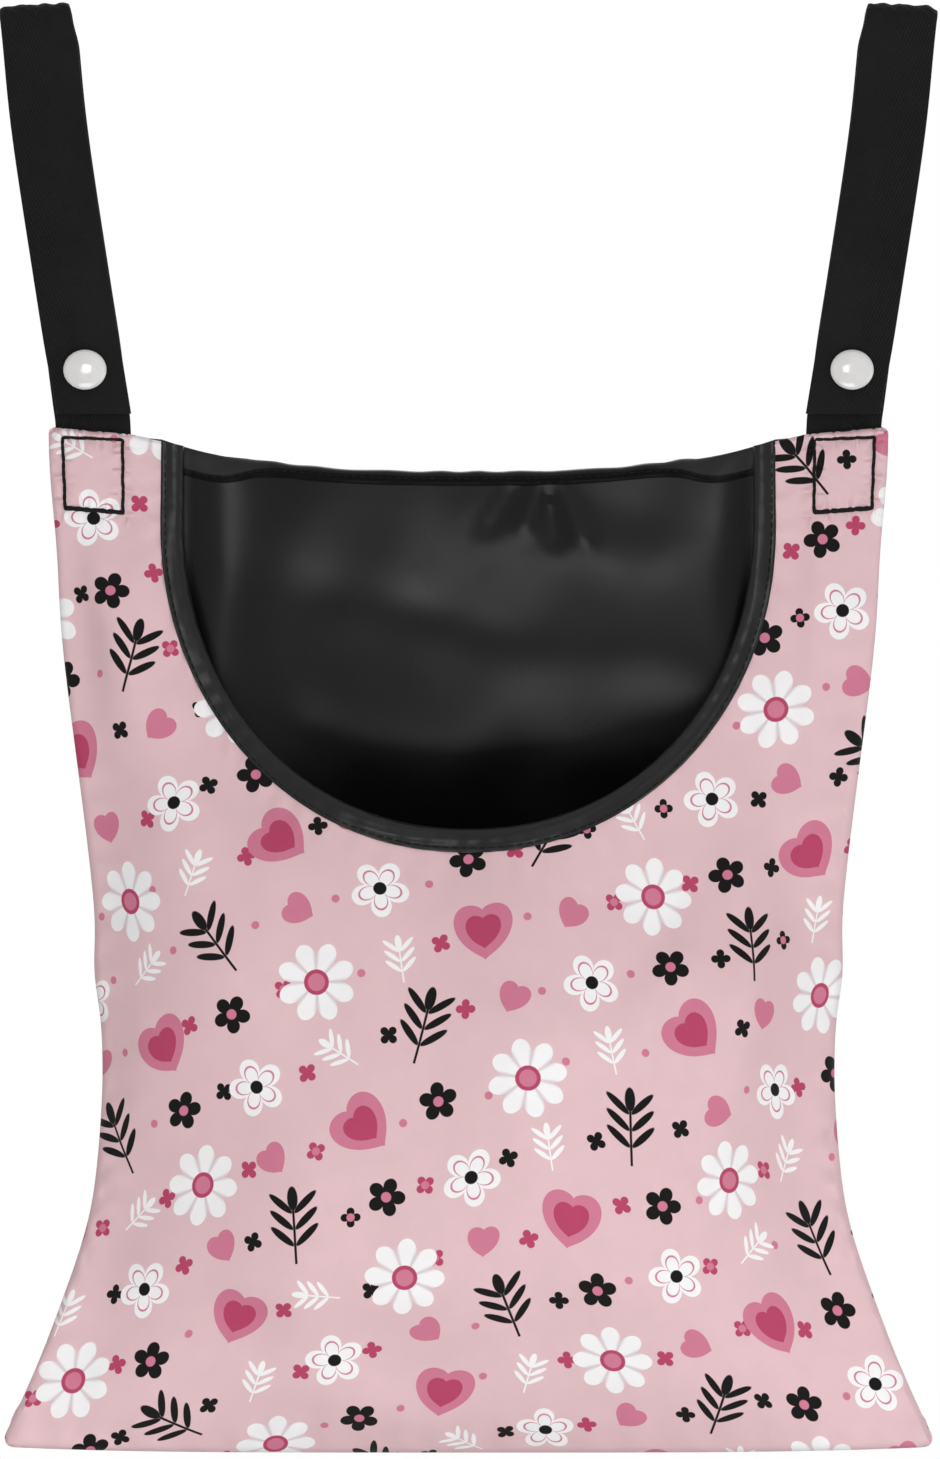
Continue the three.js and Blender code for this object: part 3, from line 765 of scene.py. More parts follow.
# Box stitch of an ear by its corners [distance from the middle, z], from the mouth side along the top and
# round. second is the rise of the second row along the bottom, and dent how far the stitches press in.
boxStitch = {
    "corners": np.array([[115.2, -140.3], [135.2, -139.5], [134.3, -163.3], [115.0, -164.8]]),
    "length": 2.9, "thread": 1.15, "thick": 0.8, "narrow": 0.72, "lap": 0.08, "wobble": 0.16,
    "rise": 0.32, "second": 0.5, "dent": 0.45, "dentRun": 0.9,
    "gather": 0.6, "gatherAt": 2.2, "gatherRun": 1.8, "gatherLength": 4.3,  # waves beside the stitches
    "puff": 0.5, "puffRun": 3.0, "crumple": 0.16,
}
# how far down the ears reach, and how far from the middle their dents start
ears = {"foot": 40.0, "fade": 6.0, "frontFrom": mouth["outer"] - 2, "backFrom": mouth["outer"] + 4}


# Distance of a place on an ear from the nearest line of its box stitch, outside above 0, and along that line.
def boxPlace(x, z):
    first = boxStitch["corners"]
    run = np.roll(first, -1, axis=0) - first
    run = run / np.linalg.norm(run, axis=1, keepdims=True)
    right, up = np.abs(x)[..., None] - first[:, 0], z[..., None] - first[:, 1]
    away = up * run[:, 0] - right * run[:, 1]
    along = right * run[:, 0] + up * run[:, 1]
    nearest = np.argmax(away, axis=-1)[..., None]
    return np.take_along_axis(away, nearest, -1)[..., 0], np.take_along_axis(along, nearest, -1)[..., 0]


# Dent under the box stitch, with gathers beside it and the square inside it puffed up, on the ears alone.
def earDents(x, z, start):
    away, along = boxPlace(x, z)
    dent = -boxStitch["dent"] * bell(away, boxStitch["dentRun"])
    beside = bell(np.abs(away), boxStitch["gatherRun"], boxStitch["gatherAt"])
    phase = wholeTurn * along / boxStitch["gatherLength"] + 1.7 * np.sin(along * 0.9) + 2 * (away > 0)
    puff = boxStitch["puff"] * (away < 0) * (1 - bell(away, boxStitch["puffRun"]))
    waves = np.sin(x * 0.7 + 2 * np.sin(z * 0.45)) * np.sin(z * 0.62 + x * 0.2)
    gathered = dent + boxStitch["gather"] * beside * np.sin(phase) + puff + boxStitch["crumple"] * waves
    return earMask(x, z, start) * gathered


# 1 on the ears from the given distance out, fading below them.
def earMask(x, z, start):
    return ease((ears["foot"] - dropAt(x, z)) / ears["fade"]) * (np.abs(x) > start)


# Offset of the outer cloth where it turns under at an edge, from the inner offset up by a quarter circle.
def turnedUnder(inner, share):
    return inner + (layer["cloth"] - inner) * quarterRound(share)


# Offset of the outer cloth, full over the bag and turned under at the seams.
def clothOffset(x, z):
    side, foot = seamDistances(x, z)
    return turnedUnder(layer["seam"], np.minimum(side, foot) / layer["seamTurn"])


# Sheet with a wall from its places on the bag and how far it stands out to the front or the back.
def clothSheet(name, x, z, out, facing, wall, shift=0.0):
    height = sagged(x, z) if facing < 0 else z
    flat = flatMap(clothOut[facing], x, z) + shift
    return thicken(surface(name, asPoints(x, facing * out, height), flat, flip=facing < 0), wall)


frontCloth = {
    "grid": (100, 40, 150), "liningGrid": (60, 14, 90),  # rows, columns on an ear, columns on half the U
    "edgeRun": 2.0, "edgeColumns": 9, "earRun": 34.0, "earRunOut": 42.0,  # close columns, an ear's length
    "mouthCut": 1.6, "liningCut": 1.8, "liningInset": 2.8,
    "pull": 0.35, "pullLength": 9.5, "pullAt": 9, "pullRun": 5,  # gathers beside the binding
    "hem": (0.35, 1.5, 1.1), "hemLine": (-0.25, 3.6, 0.9),  # height, place and run along the ears' top edges
    "gatherSeed": 0.4, "gatherRise": 6,
}


# Grid over the horseshoe of the front: columns run along the mouth from ear to ear, rows from the mouth to
# the outline, closer together at both.
def frontGrid(outside, inset, rows, earColumns, roundColumns):
    inX, inZ = mouthLine(outside)
    outX, outZ = outline(inset)
    half, outHalf = lineLength(inX, inZ) / 2, lineLength(outX, outZ) / 2
    edgeRun, earRun = frontCloth["edgeRun"], frontCloth["earRun"]
    left = np.concatenate([
        edgeRun * np.linspace(0, 1, frontCloth["edgeColumns"])[:-1] ** 2,
        np.linspace(edgeRun, earRun, earColumns)[:-1],
        np.linspace(earRun, half, roundColumns),
    ])
    leftOut = np.interp(left, [0, earRun, half], [0, frontCloth["earRunOut"], outHalf])
    fromMouth = np.concatenate([left, 2 * half - left[-2::-1]])
    fromEar = np.concatenate([leftOut, 2 * outHalf - leftOut[-2::-1]])
    share = ease(np.linspace(0, 1, rows))[:, None]
    nearX, nearZ = alongLine(inX, inZ, fromMouth)
    farX, farZ = alongLine(outX, outZ, fromEar)
    return nearX + share * (farX - nearX), nearZ + share * (farZ - nearZ), fromMouth, share


# Front panel: the bag's form plus folds, seam gathers, dents on the ears, a hem along their tops and small
# gathers beside the binding.
def makeFront():
    x, z, fromMouth, share = frontGrid(frontCloth["mouthCut"], 0.0, *frontCloth["grid"])
    beside = np.hypot(x - x[:1], z - z[:1])
    pulls = frontCloth["pull"] * unevenWave(fromMouth, frontCloth["pullLength"], 1.8, 17)
    pulls = pulls * bell(beside, frontCloth["pullRun"], frontCloth["pullAt"])
    topEdge = earLine(x) - z
    hems = (frontCloth["hem"], frontCloth["hemLine"])
    hem = sum(height * bell(topEdge, run, place) for height, place, run in hems)
    hem = earMask(x, z, ears["frontFrom"]) * hem
    offset = np.minimum(clothOffset(x, z), turnedUnder(layer["ear"], topEdge / layer["earTurn"]))
    gathered = seamGathers(x, z, frontCloth["gatherSeed"]) * ease(share * frontCloth["gatherRise"])
    out = hem + frontOut(x, z) + offset + gathered + pulls + earDents(x, z, ears["frontFrom"])
    return clothSheet("frontCloth", x, z, out, -1, layer["clothWall"])


# Lining of the front: the bag's form and folds at the lining's offset, drawn in from mouth and seams.
def makeFrontLining():
    x, z, _, _ = frontGrid(frontCloth["liningCut"], frontCloth["liningInset"], *frontCloth["liningGrid"])
    return clothSheet("frontLining", x, z, frontOut(x, z) + layer["lining"], -1, layer["liningWall"])


frontPiece = dress(makeFront(), printedCloth, "bag", "printed_cloth", "front_panel")
frontLining = dress(makeFrontLining(), liningCloth, "bag", "lining_cloth", "front_lining")
print("front made")


# Folded band along the back's top edge, upright at its ends and rolled back in the middle: a closed section
# of [distance up the band, distance across it].
edgeBand = {
    "width": 9.5, "roll": math.radians(165), "rollEnd": 94.0, "rollRun": 38.0, "reach": 110.0,
    "stations": 260, "puff": 0.12, "puffLength": 17, "inner": 0.96,  # the band puffs outside its inner faces
    "stitchRun": (-106.0, 103.0), "stitchUp": 1.6, "stitchOut": 1.36, "stitchThick": 0.3,
    "section": np.array([
        [0.0, -0.95], [-0.05, -1.2], [0.4, -1.38], [1.0, -1.4], [1.6, -1.28], [2.2, -1.4], [3.4, -1.5],
        [5.0, -1.55], [6.6, -1.5], [8.0, -1.35], [8.9, -1.0], [9.4, -0.5], [9.5, 0.0], [9.4, 0.5],
        [8.9, 1.0], [8.0, 1.35], [6.0, 1.45], [4.0, 1.45], [2.2, 1.4], [1.6, 1.28], [1.0, 1.4],
        [0.3, 1.38], [-0.05, 1.2], [0.0, 0.95], [3.0, 0.92], [7.6, 0.7], [8.2, 0.0], [7.6, -0.7],
        [3.0, -0.92],
    ]),
}
backCloth = {
    "grid": (190, 150), "liningGrid": (150, 120), "liningInset": 2.8,  # columns and rows
    "topShare": 0.1, "topPower": 1.3, "lap": 1.0, "blend": 1.2,  # close rows, and how it meets the band
    "gatherSeed": 2.1, "mapShift": (37.0, 21.0),
}


# Height of the back's top edge: level with the ears at its ends, with a dip by a power curve between them.
def backTop(x):
    dip = (bag["backDip"] - bag["backSink"]) * (1 - np.minimum(1, np.abs(x) / mouth["outer"]) ** 3)
    return earLine(np.maximum(np.abs(x), mouth["outer"])) - bag["backSink"] - dip


# Angle by which the band is rolled back, eased from nothing at its ends to the full roll.
def bandRoll(x):
    return np.maximum(1e-3, edgeBand["roll"] * ease((edgeBand["rollEnd"] - np.abs(x)) / edgeBand["rollRun"]))


# Foot of the band: below the top edge by the height that the rolled band still shows.
def bandFoot(x):
    roll = bandRoll(x)
    return backTop(x) - edgeBand["width"] * np.sin(np.minimum(roll, math.pi / 2)) / roll


# Grid over the back, columns across and rows from the band, or the ear tops, to the bottom seam.
def backGrid(inset, columns, rows):
    share = np.sin(np.linspace(-1, 1, columns) * math.pi / 2)[None, :]
    topShare = backCloth["topShare"]
    down = np.concatenate([
        topShare * np.linspace(0, 1, rows // 4)[:-1] ** backCloth["topPower"],
        topShare + (1 - topShare) * np.sin(np.linspace(0, 1, rows) * math.pi / 2),
    ])[:, None]
    drop = down * bag["height"] + 0 * share
    x = share * (halfWidth(np.minimum(drop, bag["height"])) - inset)
    blend = backCloth["blend"]
    banded = ease((edgeBand["reach"] + blend - np.abs(x)) / (2 * blend))
    top = banded * (bandFoot(x) + backCloth["lap"]) + (1 - banded) * earLine(x)
    foot = bottomLine(x) + inset
    return x, top + down * (foot - top), top


# Back panel: the bag's form plus folds, seam gathers and dents on the ears, turned under along the ear tops.
def makeBack():
    x, z, top = backGrid(0.0, *backCloth["grid"])
    earRoll = turnedUnder(layer["ear"], (top - z) / layer["earTurn"])
    earRoll = np.where(np.abs(x) > edgeBand["reach"], earRoll, layer["cloth"])
    offset = np.minimum(clothOffset(x, z), earRoll)
    gathered = seamGathers(x, z, backCloth["gatherSeed"])
    out = backOut(x, z) + offset + gathered + earDents(x, z, ears["backFrom"])
    return clothSheet("backCloth", x, z, out, 1, layer["clothWall"], backCloth["mapShift"])


# Lining of the back: the bag's form and folds at the lining's offset, drawn in from the seams.
def makeBackLining():
    x, z, _ = backGrid(backCloth["liningInset"], *backCloth["liningGrid"])
    return clothSheet("backLining", x, z, backOut(x, z) + layer["lining"], 1, layer["liningWall"])


backPiece = dress(makeBack(), printedCloth, "bag", "printed_cloth", "back_panel")
backLining = dress(makeBackLining(), liningCloth, "bag", "lining_cloth", "back_lining")
print("back made")


# Binding round the mouth: a closed section of [distance outside the clear mouth, offset from the bag's
# middle] carried along the U, with long soft wrinkles where the tape is drawn round the bottom.
binding = {
    "stations": 440, "width": 7.5,
    "normalRun": 1.5, "endRun": 6,  # step for the path's normal, and run over which the ends meet the ears
    "face": 2.9, "faceRun": 0.5,  # the wrinkles are on the outer face
    "wrinkle": 0.2, "wrinkleLength": 3.1, "loose": 0.35, "looseRun": 60, "drawnRun": 90,
    "ripple": 0.13, "rippleLength": 8.2, "swell": 0.1, "sway": 0.25,
    "stitchAt": (6.2, 3.3), "stitchFrom": 4.0, "stitchStop": 6.0, "stitchThick": 0.34,
    "section": np.array([
        [7.5, 2.72], [7.5, 3.0], [7.2, 3.22], [6.7, 3.3], [6.2, 3.16], [5.7, 3.26], [5.0, 3.5],
        [4.0, 3.72], [3.0, 3.78], [2.0, 3.7], [1.2, 3.45], [0.55, 3.0], [0.12, 2.4], [0.0, 1.85],
        [0.12, 1.25], [0.55, 0.68], [1.2, 0.36], [2.2, 0.22], [4.0, 0.18], [5.8, 0.22], [6.7, 0.32],
        [6.9, 0.6], [6.6, 0.84], [4.5, 0.88], [2.6, 0.88], [1.6, 1.3], [1.35, 1.85], [1.6, 2.4],
        [2.6, 2.76], [4.6, 2.73], [6.6, 2.72],
    ]),
}
tapeStitch = {"pitch": 2.9, "length": 2.3, "thread": 0.42}


# Distance round a closed section, from its first point to each of the others and back to the first.
def lengthRound(section):
    closed = np.vstack([section, section[:1]])
    return np.append(0, np.cumsum(np.hypot(*np.diff(closed, axis=0).T)))


# Points of the tape at distances along the mouth: the path moved outside along its normal, standing on the
# cloth.
def bindingPoints(distance, outside, offset):
    lineX, lineZ = mouthLine(0.0)
    length = lineLength(lineX, lineZ)
    x, z = alongLine(lineX, lineZ, distance)
    beforeX, beforeZ = alongLine(lineX, lineZ, np.maximum(0, distance - binding["normalRun"]))
    afterX, afterZ = alongLine(lineX, lineZ, np.minimum(length, distance + binding["normalRun"]))
    run = np.hypot(afterX - beforeX, afterZ - beforeZ)
    pointX = x + outside * (afterZ - beforeZ) / run
    pointZ = z - outside * (afterX - beforeX) / run
    nearEnd = np.exp(-np.minimum(distance, length - distance) / binding["endRun"])
    pointZ = pointZ + nearEnd * (earLine(pointX) - earLine(x))
    return asPoints(pointX, -(frontOut(pointX, pointZ) + offset), sagged(pointX, pointZ))


# Tape: the section carried along the mouth, its outer face raised by wrinkles along it, ripples across it and
# a slow swell, and its width swaying a little.
def makeBinding():
    length = lineLength(*mouthLine(0.0))
    distance = np.linspace(0.0, length, binding["stations"])[:, None]
    outside, offset = binding["section"].T[:, None, :]
    outward = np.clip((offset - binding["face"]) / binding["faceRun"], 0, 1)
    fromEnd = np.minimum(distance, length - distance)
    loose = binding["loose"]
    drawn = loose + (1 - loose) * ease((fromEnd - binding["looseRun"]) / binding["drawnRun"])
    bends = wholeTurn * outside / binding["wrinkleLength"] + 2.6 * np.sin(distance / 26) + distance / 31
    wrinkle = binding["wrinkle"] * drawn * np.sin(bends)
    ripple = binding["ripple"] * unevenWave(distance, binding["rippleLength"], 2.0, 15)
    puffed = offset + outward * (wrinkle + ripple + binding["swell"] * np.sin(distance / 19))
    swayed = outside + binding["sway"] * np.sin(distance / 22) * (outside / binding["width"])
    points = bindingPoints(distance + 0 * outside, swayed, puffed)
    flat = asPoints(lengthRound(binding["section"]), distance)
    return surface("mouthTape", points, flat, ringed=True, capped=True, sharp=50)


# Evenly spaced angles round a circle.
def roundAngles(count):
    return np.linspace(0, wholeTurn, count + 1)[:-1]


# Stitches: each is a short capsule of thread from one point to the next, pressed flat against the cloth. Its
# ends narrow to the given share of its width.
def stitches(name, starts, ends, outward, width, height, narrow=0.14):
    steps, angle = np.linspace(-1, 1, 7), roundAngles(8)
    bulge = narrow + (1 - narrow) * np.sqrt(np.maximum(0, 1 - np.abs(steps) ** 3))
    run = ends - starts
    side = np.cross(run, outward)
    side = side / np.linalg.norm(side, axis=1, keepdims=True)
    middle = (starts + ends)[:, None, None] / 2 + run[:, None, None] * (steps * 0.5)[:, None, None]
    ring = side[:, None, None] * (np.cos(angle) * width / 2)[:, None]
    ring = ring + outward[:, None, None] * (np.sin(angle) * height / 2)[:, None]
    points = middle + bulge[:, None, None] * ring
    index = np.arange(points[..., 0].size).reshape(points.shape[:-1])
    quads = gridQuads(np.concatenate([index, index[..., :1]], axis=-1))[:, ::-1]
    caps = np.concatenate([index[:, 0], index[:, -1, ::-1]])
    flat = asPoints(angle * width / 2, steps[:, None] * 1.2).reshape(-1, 2)
    corners = np.append(quads, caps) % len(flat)
    return meshPiece(name, points, quads.tolist() + caps.tolist(), flat[corners])


# Row of stitches along the binding's free edge.
def makeBindingStitches():
    stop = lineLength(*mouthLine(0.0)) - binding["stitchStop"]
    starts = np.arange(binding["stitchFrom"], stop, tapeStitch["pitch"])
    first, last = (bindingPoints(starts + run, *binding["stitchAt"]) for run in (0.0, tapeStitch["length"]))
    outward = np.repeat([facingFront], len(starts), axis=0)
    return stitches("mouthTapeStitches", first, last, outward, tapeStitch["thread"], binding["stitchThick"])


dress(makeBinding(), bindingTape, "bag", "binding_tape", "mouth_binding")
dress(makeBindingStitches(), blackThread, "bag", "black_thread")


# Points of the edge band: distance up the band bends back by the roll, and thick is measured across it.
def bandPoints(x, up, thick):
    roll = bandRoll(x)
    angle = roll * np.clip(up, 0, None) / edgeBand["width"]
    foot = bandFoot(x)
    radius = edgeBand["width"] / roll
    z = foot + radius * np.sin(angle) + np.minimum(up, 0) - thick * np.sin(angle)
    y = backOut(x, foot) + layer["middle"] + radius * (1 - np.cos(angle)) + thick * np.cos(angle)
    return asPoints(x, y, z)


# Band: the section carried across the back, its outer faces puffed by an uneven wave.
def makeEdgeBand():
    x = np.linspace(-edgeBand["reach"], edgeBand["reach"], edgeBand["stations"])[:, None]
    up, thick = edgeBand["section"].T[:, None, :]
    puff = 1 + edgeBand["puff"] * unevenWave(x, edgeBand["puffLength"], 1.6, 11)
    points = bandPoints(x, up, thick * np.where(np.abs(thick) > edgeBand["inner"], puff, 1))
    flat = asPoints(lengthRound(edgeBand["section"]), x)
    return surface("backEdgeTape", points, flat, ringed=True, capped=True, sharp=50, flip=True)


# Rows of stitches along the band's foot, one on each face.
def makeBandStitches():
    starts = np.arange(*edgeBand["stitchRun"], tapeStitch["pitch"])
    faces = (-edgeBand["stitchOut"], edgeBand["stitchOut"])
    first, last = (
        np.concatenate([bandPoints(starts + run, edgeBand["stitchUp"], thick) for thick in faces])
        for run in (0.0, tapeStitch["length"])
    )
    outward = np.repeat([facingFront, facingBack], len(starts), axis=0)
    return stitches("backEdgeStitches", first, last, outward, tapeStitch["thread"], edgeBand["stitchThick"])


dress(makeEdgeBand(), edgeTape, "bag", "binding_tape", "back_edge_band")
dress(makeBandStitches(), blackThread, "bag", "black_thread")
print("binding and edge band made")


seam = {
    "edge": 0.6, "inner": 7.0, "thick": 0.8, "wave": 0.25, "stations": 120,  # edge and inner: distances in
    "sideDrops": (40.5, 328.0), "footHalf": 139.0, "mapSize": (7, 300),
    # share of the way in, and share of the thickness
    "section": np.array([[0.0, -0.1], [0.03, -0.4], [0.5, -0.5], [0.97, -0.42],
                         [1.0, 0.0], [0.97, 0.42], [0.5, 0.5], [0.03, 0.4]]),
}


# Seam allowances inside: a slightly wavy strip of doubled cloth along each seam.
def makeSeamStrip(name, edgeX, edgeZ, innerX, innerZ):
    across, thick = seam["section"].T[:, None, :]
    share = np.linspace(0, 1, len(edgeX))[:, None]
    x = edgeX[:, None] + across * (innerX - edgeX)[:, None]
    z = edgeZ[:, None] + across * (innerZ - edgeZ)[:, None]
    wave = seam["wave"] * across * np.sin(wholeTurn * share * 14 + 2 * np.sin(share * 19))
    width, length = seam["mapSize"]
    flat = asPoints(np.append(across, 0.0) * width, share * length)
    return surface(name, asPoints(x, thick * seam["thick"] + wave, z), flat, ringed=True, capped=True)


drops = np.linspace(*seam["sideDrops"], seam["stations"])
for side, label in bothSides:
    edge, inner = (side * (halfWidth(drops) - seam[key]) for key in ("edge", "inner"))
    strip = makeSeamStrip(label + "SeamEdges", edge, bag["earTop"] - drops, inner, bag["earTop"] - drops)
    dress(strip, liningCloth, "bag", "lining_cloth", label + "_side_seam")
footX = np.linspace(-seam["footHalf"], seam["footHalf"], seam["stations"])
edge, inner = (bottomLine(footX) + seam[key] for key in ("edge", "inner"))
strip = makeSeamStrip("bottomSeamEdges", footX, edge, footX, inner)
dress(strip, liningCloth, "bag", "lining_cloth", "bottom_seam")
print("seams made")


# Straps. Each length of webbing is a rounded flat section carried along stations: a middle point, the
# direction across and the direction out of its face.
strap = {
    "half": 12.5, "thick": 0.7, "lean": math.radians(7.65), "tuckLean": math.radians(3.3), "root": -133.303,
    "rise": 134.5, "flatRun": 32.0, "bend": 4.25, "tailY": -5.3, "tailStop": 1.4, "slit": 0.15, "tuck": 33.5,
    # share of the rise, and slip towards the bag's middle there
    "slip": [(0.0, 1.1), (0.19, 0.0), (0.29, -0.3), (0.49, -0.9), (0.6, -1.2), (0.7, -1.35), (0.8, -1.2),
             (0.9, -0.6), (1.0, -0.1)],
    "slipSoft": 0.06, "legSway": 0.25, "tailSway": 0.3, "swayTop": 120, "turnRun": 6,
    "levelRun": 26,  # length over which the tail's end turns level
    "square": 0.08,  # slope by which the fold is squarer to the line than the strap is
    "pinch": 1.3, "pinchRun": 12.0,  # narrowing of the inner edge up to the fold
    "outerCorner": (1.5, 0.72), "innerCorner": (0.5, 0.85),  # drop of the fold's corners, and its start
    "ripple": 0.22, "crumple": 0.2,
}


# Sideways slip towards the bag's middle at a share of the rise: straight runs through the listed places,
# averaged over a short stretch.
def strapSlip(share):
    places, values = np.array(strap["slip"]).T
    spread = np.linspace(-strap["slipSoft"], strap["slipSoft"], 13)
    return np.mean([np.interp(share + step, places, values) for step in spread], axis=0)


# Closed section of the webbing: a flat face, a rounded edge, and the same on the other side.
def webbingSection():
    count, half = 27, strap["half"]
    face = np.linspace(-1, 1, count) * (half - 0.5)
    edge = np.array([[half - 0.12, 0.75], [half, 0.0], [half - 0.12, -0.75]])
    top = asPoints(face, np.ones(count))
    loop = np.concatenate([top, edge, top[::-1] * [1, -1], -edge])
    return loop[:, 0], loop[:, 1] * strap["thick"]


# Points on the strap's own axes to the bag's: x across, z up the strap, turned by the lean about its root.
def strapFrame(side, x, y, z):
    turn = side * strap["lean"]
    across = x * math.cos(turn) + z * math.sin(turn) + side * bag["strapX"]
    return asPoints(across, y, -x * math.sin(turn) + z * math.cos(turn) + strap["root"])


# Directions on the strap's own axes to the bag's.
def strapTurn(side, x, y, z):
    return strapFrame(side, x, y, z) - strapFrame(side, 0.0, 0.0, 0.0)


# Corner of the fold: drops by a square curve outside the given share of the half width.
def foldCorner(outer, drop, start):
    return -drop * np.clip((outer - start) / (1 - start), 0, 1) ** 2


# Webbing along its stations. up is the height on the strap, and near the fold the inner edge draws in and the
# cloth is a little crumpled. skew slopes each station's cut, and crown squares it to the line with rounded
# corners.
def webbing(name, side, middle, across, out, along, up, skew=0.0, crown=0.0):
    sectionX, sectionY = webbingSection()
    column = lambda values: np.broadcast_to(np.asarray(values), along.shape)[:, None]
    x, y = np.broadcast_arrays(sectionX, sectionY + 0 * column(along))
    near = ease((column(up) - strap["rise"] + strap["pinchRun"]) / strap["pinchRun"])
    outer = side * x / strap["half"]
    corner = foldCorner(outer, *strap["outerCorner"]) + foldCorner(-outer, *strap["innerCorner"])
    ripple = strap["ripple"] * np.sin(x * 0.85 + side)
    waves = np.sin(x * 1.5 + 2.2 * np.sin(column(along) * 0.8)) * np.sin(column(along) * 1.1 + x * 0.25)
    crumple = strap["crumple"] * waves * near**3
    cut = column(skew) * x + column(crown) * (side * strap["square"] * x + corner + ripple)
    x = x * (1 - np.where(outer < 0, strap["pinch"] / strap["half"], 0.0) * near)
    points = middle[:, None] + across[:, None] * x[..., None] + out[:, None] * (y + crumple)[..., None]
    points = points + cut[..., None] * [0, 0, 1.0]
    flat = asPoints(side * np.append(sectionX, sectionX[:1]), column(along))
    return surface(name, points, flat, ringed=True, capped=True, sharp=60)


# Share of the way from the flat lower run of the strap to the fold.
def towardsFold(up):
    return ease((up - strap["flatRun"]) / (strap["rise"] - strap["flatRun"]))


# Tucked end and leg in one length: up through the ear, a turn of a few degrees at the root, then the leg,
# which stands back to one side of the loop at the line.
def makeLeg(side, label):
    top = strap["rise"] - strap["slit"]
    along = np.concatenate([np.linspace(-strap["tuck"], -8, 14), np.linspace(-7, 7, 22),
                            np.linspace(9, top, 90)])
    share = ease((along + strap["turnRun"]) / (2 * strap["turnRun"]))
    turn = side * (strap["tuckLean"] + (strap["lean"] - strap["tuckLean"]) * share)
    sway = strap["legSway"] * np.sin(along / 17 + side) * ease((along - 34) / 20) * (along < strap["swayTop"])
    tuckX = side * (bag["strapX"] + along * math.tan(strap["tuckLean"]))
    slip = -side * strapSlip(along / strap["rise"]) * ease((along - 12) / 30)
    tucked = asPoints(tuckX, 0, strap["root"] + along)
    middle = tucked + share[:, None] * (strapFrame(side, slip, 0, along) - tucked)
    middle[:, 1] = strap["bend"] * towardsFold(along) + sway
    across = asPoints(np.cos(turn), 0, -np.sin(turn))
    out = np.repeat([facingBack], len(along), axis=0)
    return webbing(label + "StrapLeg", side, middle, across, out, along, along)


# Fold over the line: half a circle about it, with a short straight step at each end.
def makeFold(side, label):
    angle = np.concatenate([[0], np.linspace(0, math.pi, 40), [math.pi]])
    short = np.zeros(len(angle))
    short[[0, -1]] = strap["slit"]
    rise = strap["rise"] - short + strap["bend"] * np.sin(angle)
    middle = strapFrame(side, -side * strapSlip(1.0 + 0 * angle), strap["bend"] * np.cos(angle), rise)
    across = strapTurn(side, 1 + 0 * angle, 0, 0)
    out = strapTurn(side, 0, np.cos(angle), np.sin(angle))
    along = strap["rise"] + strap["bend"] * angle + short * np.sign(angle - 1)
    return webbing(label + "StrapFold", side, middle, across, out, along, strap["rise"], 0.0, np.sin(angle))


# Tail: down from the line in front of the leg, easing from the fold to its flat run, its end cut level.
def makeTail(side, label):
    top = strap["rise"] - strap["slit"]
    up = np.concatenate([np.linspace(top, 120, 24)[:-1], np.linspace(120, 34, 60),
                         np.linspace(32, strap["tailStop"], 20)])
    sway = strap["tailSway"] * np.sin(up / 19 + 2 * side)
    sway = sway * ease((up - 36) / 20) * ease((strap["rise"] - 2 - up) / 12)
    y = strap["tailY"] + (-strap["bend"] - strap["tailY"]) * towardsFold(up) + sway
    middle = strapFrame(side, -side * strapSlip(up / strap["rise"]), y, up)
    across = strapTurn(side, 1 + 0 * up, 0, 0)
    out = np.repeat([facingFront], len(up), axis=0)
    level = math.tan(side * strap["lean"]) * (1 - ease((up - strap["tailStop"]) / strap["levelRun"]))
    along = strap["rise"] + strap["bend"] * math.pi + strap["rise"] - up
    return webbing(label + "StrapTail", side, middle, across, out, along, up, level)


# Press stud by its profiles of [radius, y] pairs. rise is its height on the strap.
stud = {
    "rise": 16.2, "cap": 7.2, "face": -9.2, "seat": -6.06, "dome": 1.25, "rim": 0.95, "capOval": 0.925,
    "socket": [
        [2.95, -4.3], [5.5, -4.3], [5.75, -4.1], [5.75, -3.4], [5.3, -3.0], [4.7, -2.85], [4.4, -2.3],
        [4.1, -2.1], [3.5, -2.08], [3.2, -2.3], [3.0, -2.7], [3.15, -3.3], [2.95, -3.6],
    ],
    "post": [
        [0.1, -3.0], [1.6, -3.0], [2.3, -2.85], [2.7, -2.5], [2.78, -2.2], [2.55, -1.95], [2.5, -1.75],
        [3.0, -1.68], [5.2, -1.62], [5.65, -1.45], [5.72, -1.1], [5.5, -0.8], [0.1, -0.8],
    ],
    "back": [
        [0.1, 0.8], [5.0, 0.8], [5.4, 1.0], [5.42, 1.5], [5.0, 1.9], [4.2, 2.1], [3.0, 2.2], [2.2, 2.2],
        [1.9, 2.05], [1.7, 1.8], [0.1, 1.75],
    ],
}


# Round stud pieces: a profile turned about the stud's axis, flatter upwards by the given share.
def turnedPiece(name, side, profile, oval):
    angle = roundAngles(56)
    centreX, _, centreZ = strapFrame(side, 0.0, 0.0, stud["rise"])
    radius, y = np.array(profile).T[..., None]
    points = asPoints(centreX + radius * np.cos(angle), y, centreZ + oval * radius * np.sin(angle))
    return surface(name, points, ringed=True, capped=True, sharp=50)


# Cap: a domed face that turns over a rounded rim to its seat on the tail.
def capProfile():
    share = np.linspace(0.02, 1, 16)
    cap, rim, seat = stud["cap"], stud["rim"], stud["seat"]
    dome = asPoints((cap - 0.55) * share, stud["face"] + stud["dome"] * share**2.6)
    turn = np.linspace(0.5, math.pi / 2, 7)
    edge = asPoints(cap - rim + rim * np.sin(turn), stud["face"] + 2.2 - rim * np.cos(turn))
    under = [[cap - 0.15, seat - 0.5], [cap - 0.6, seat - 0.05], [0.2, seat - 0.02]]
    return np.concatenate([dome, edge, under])


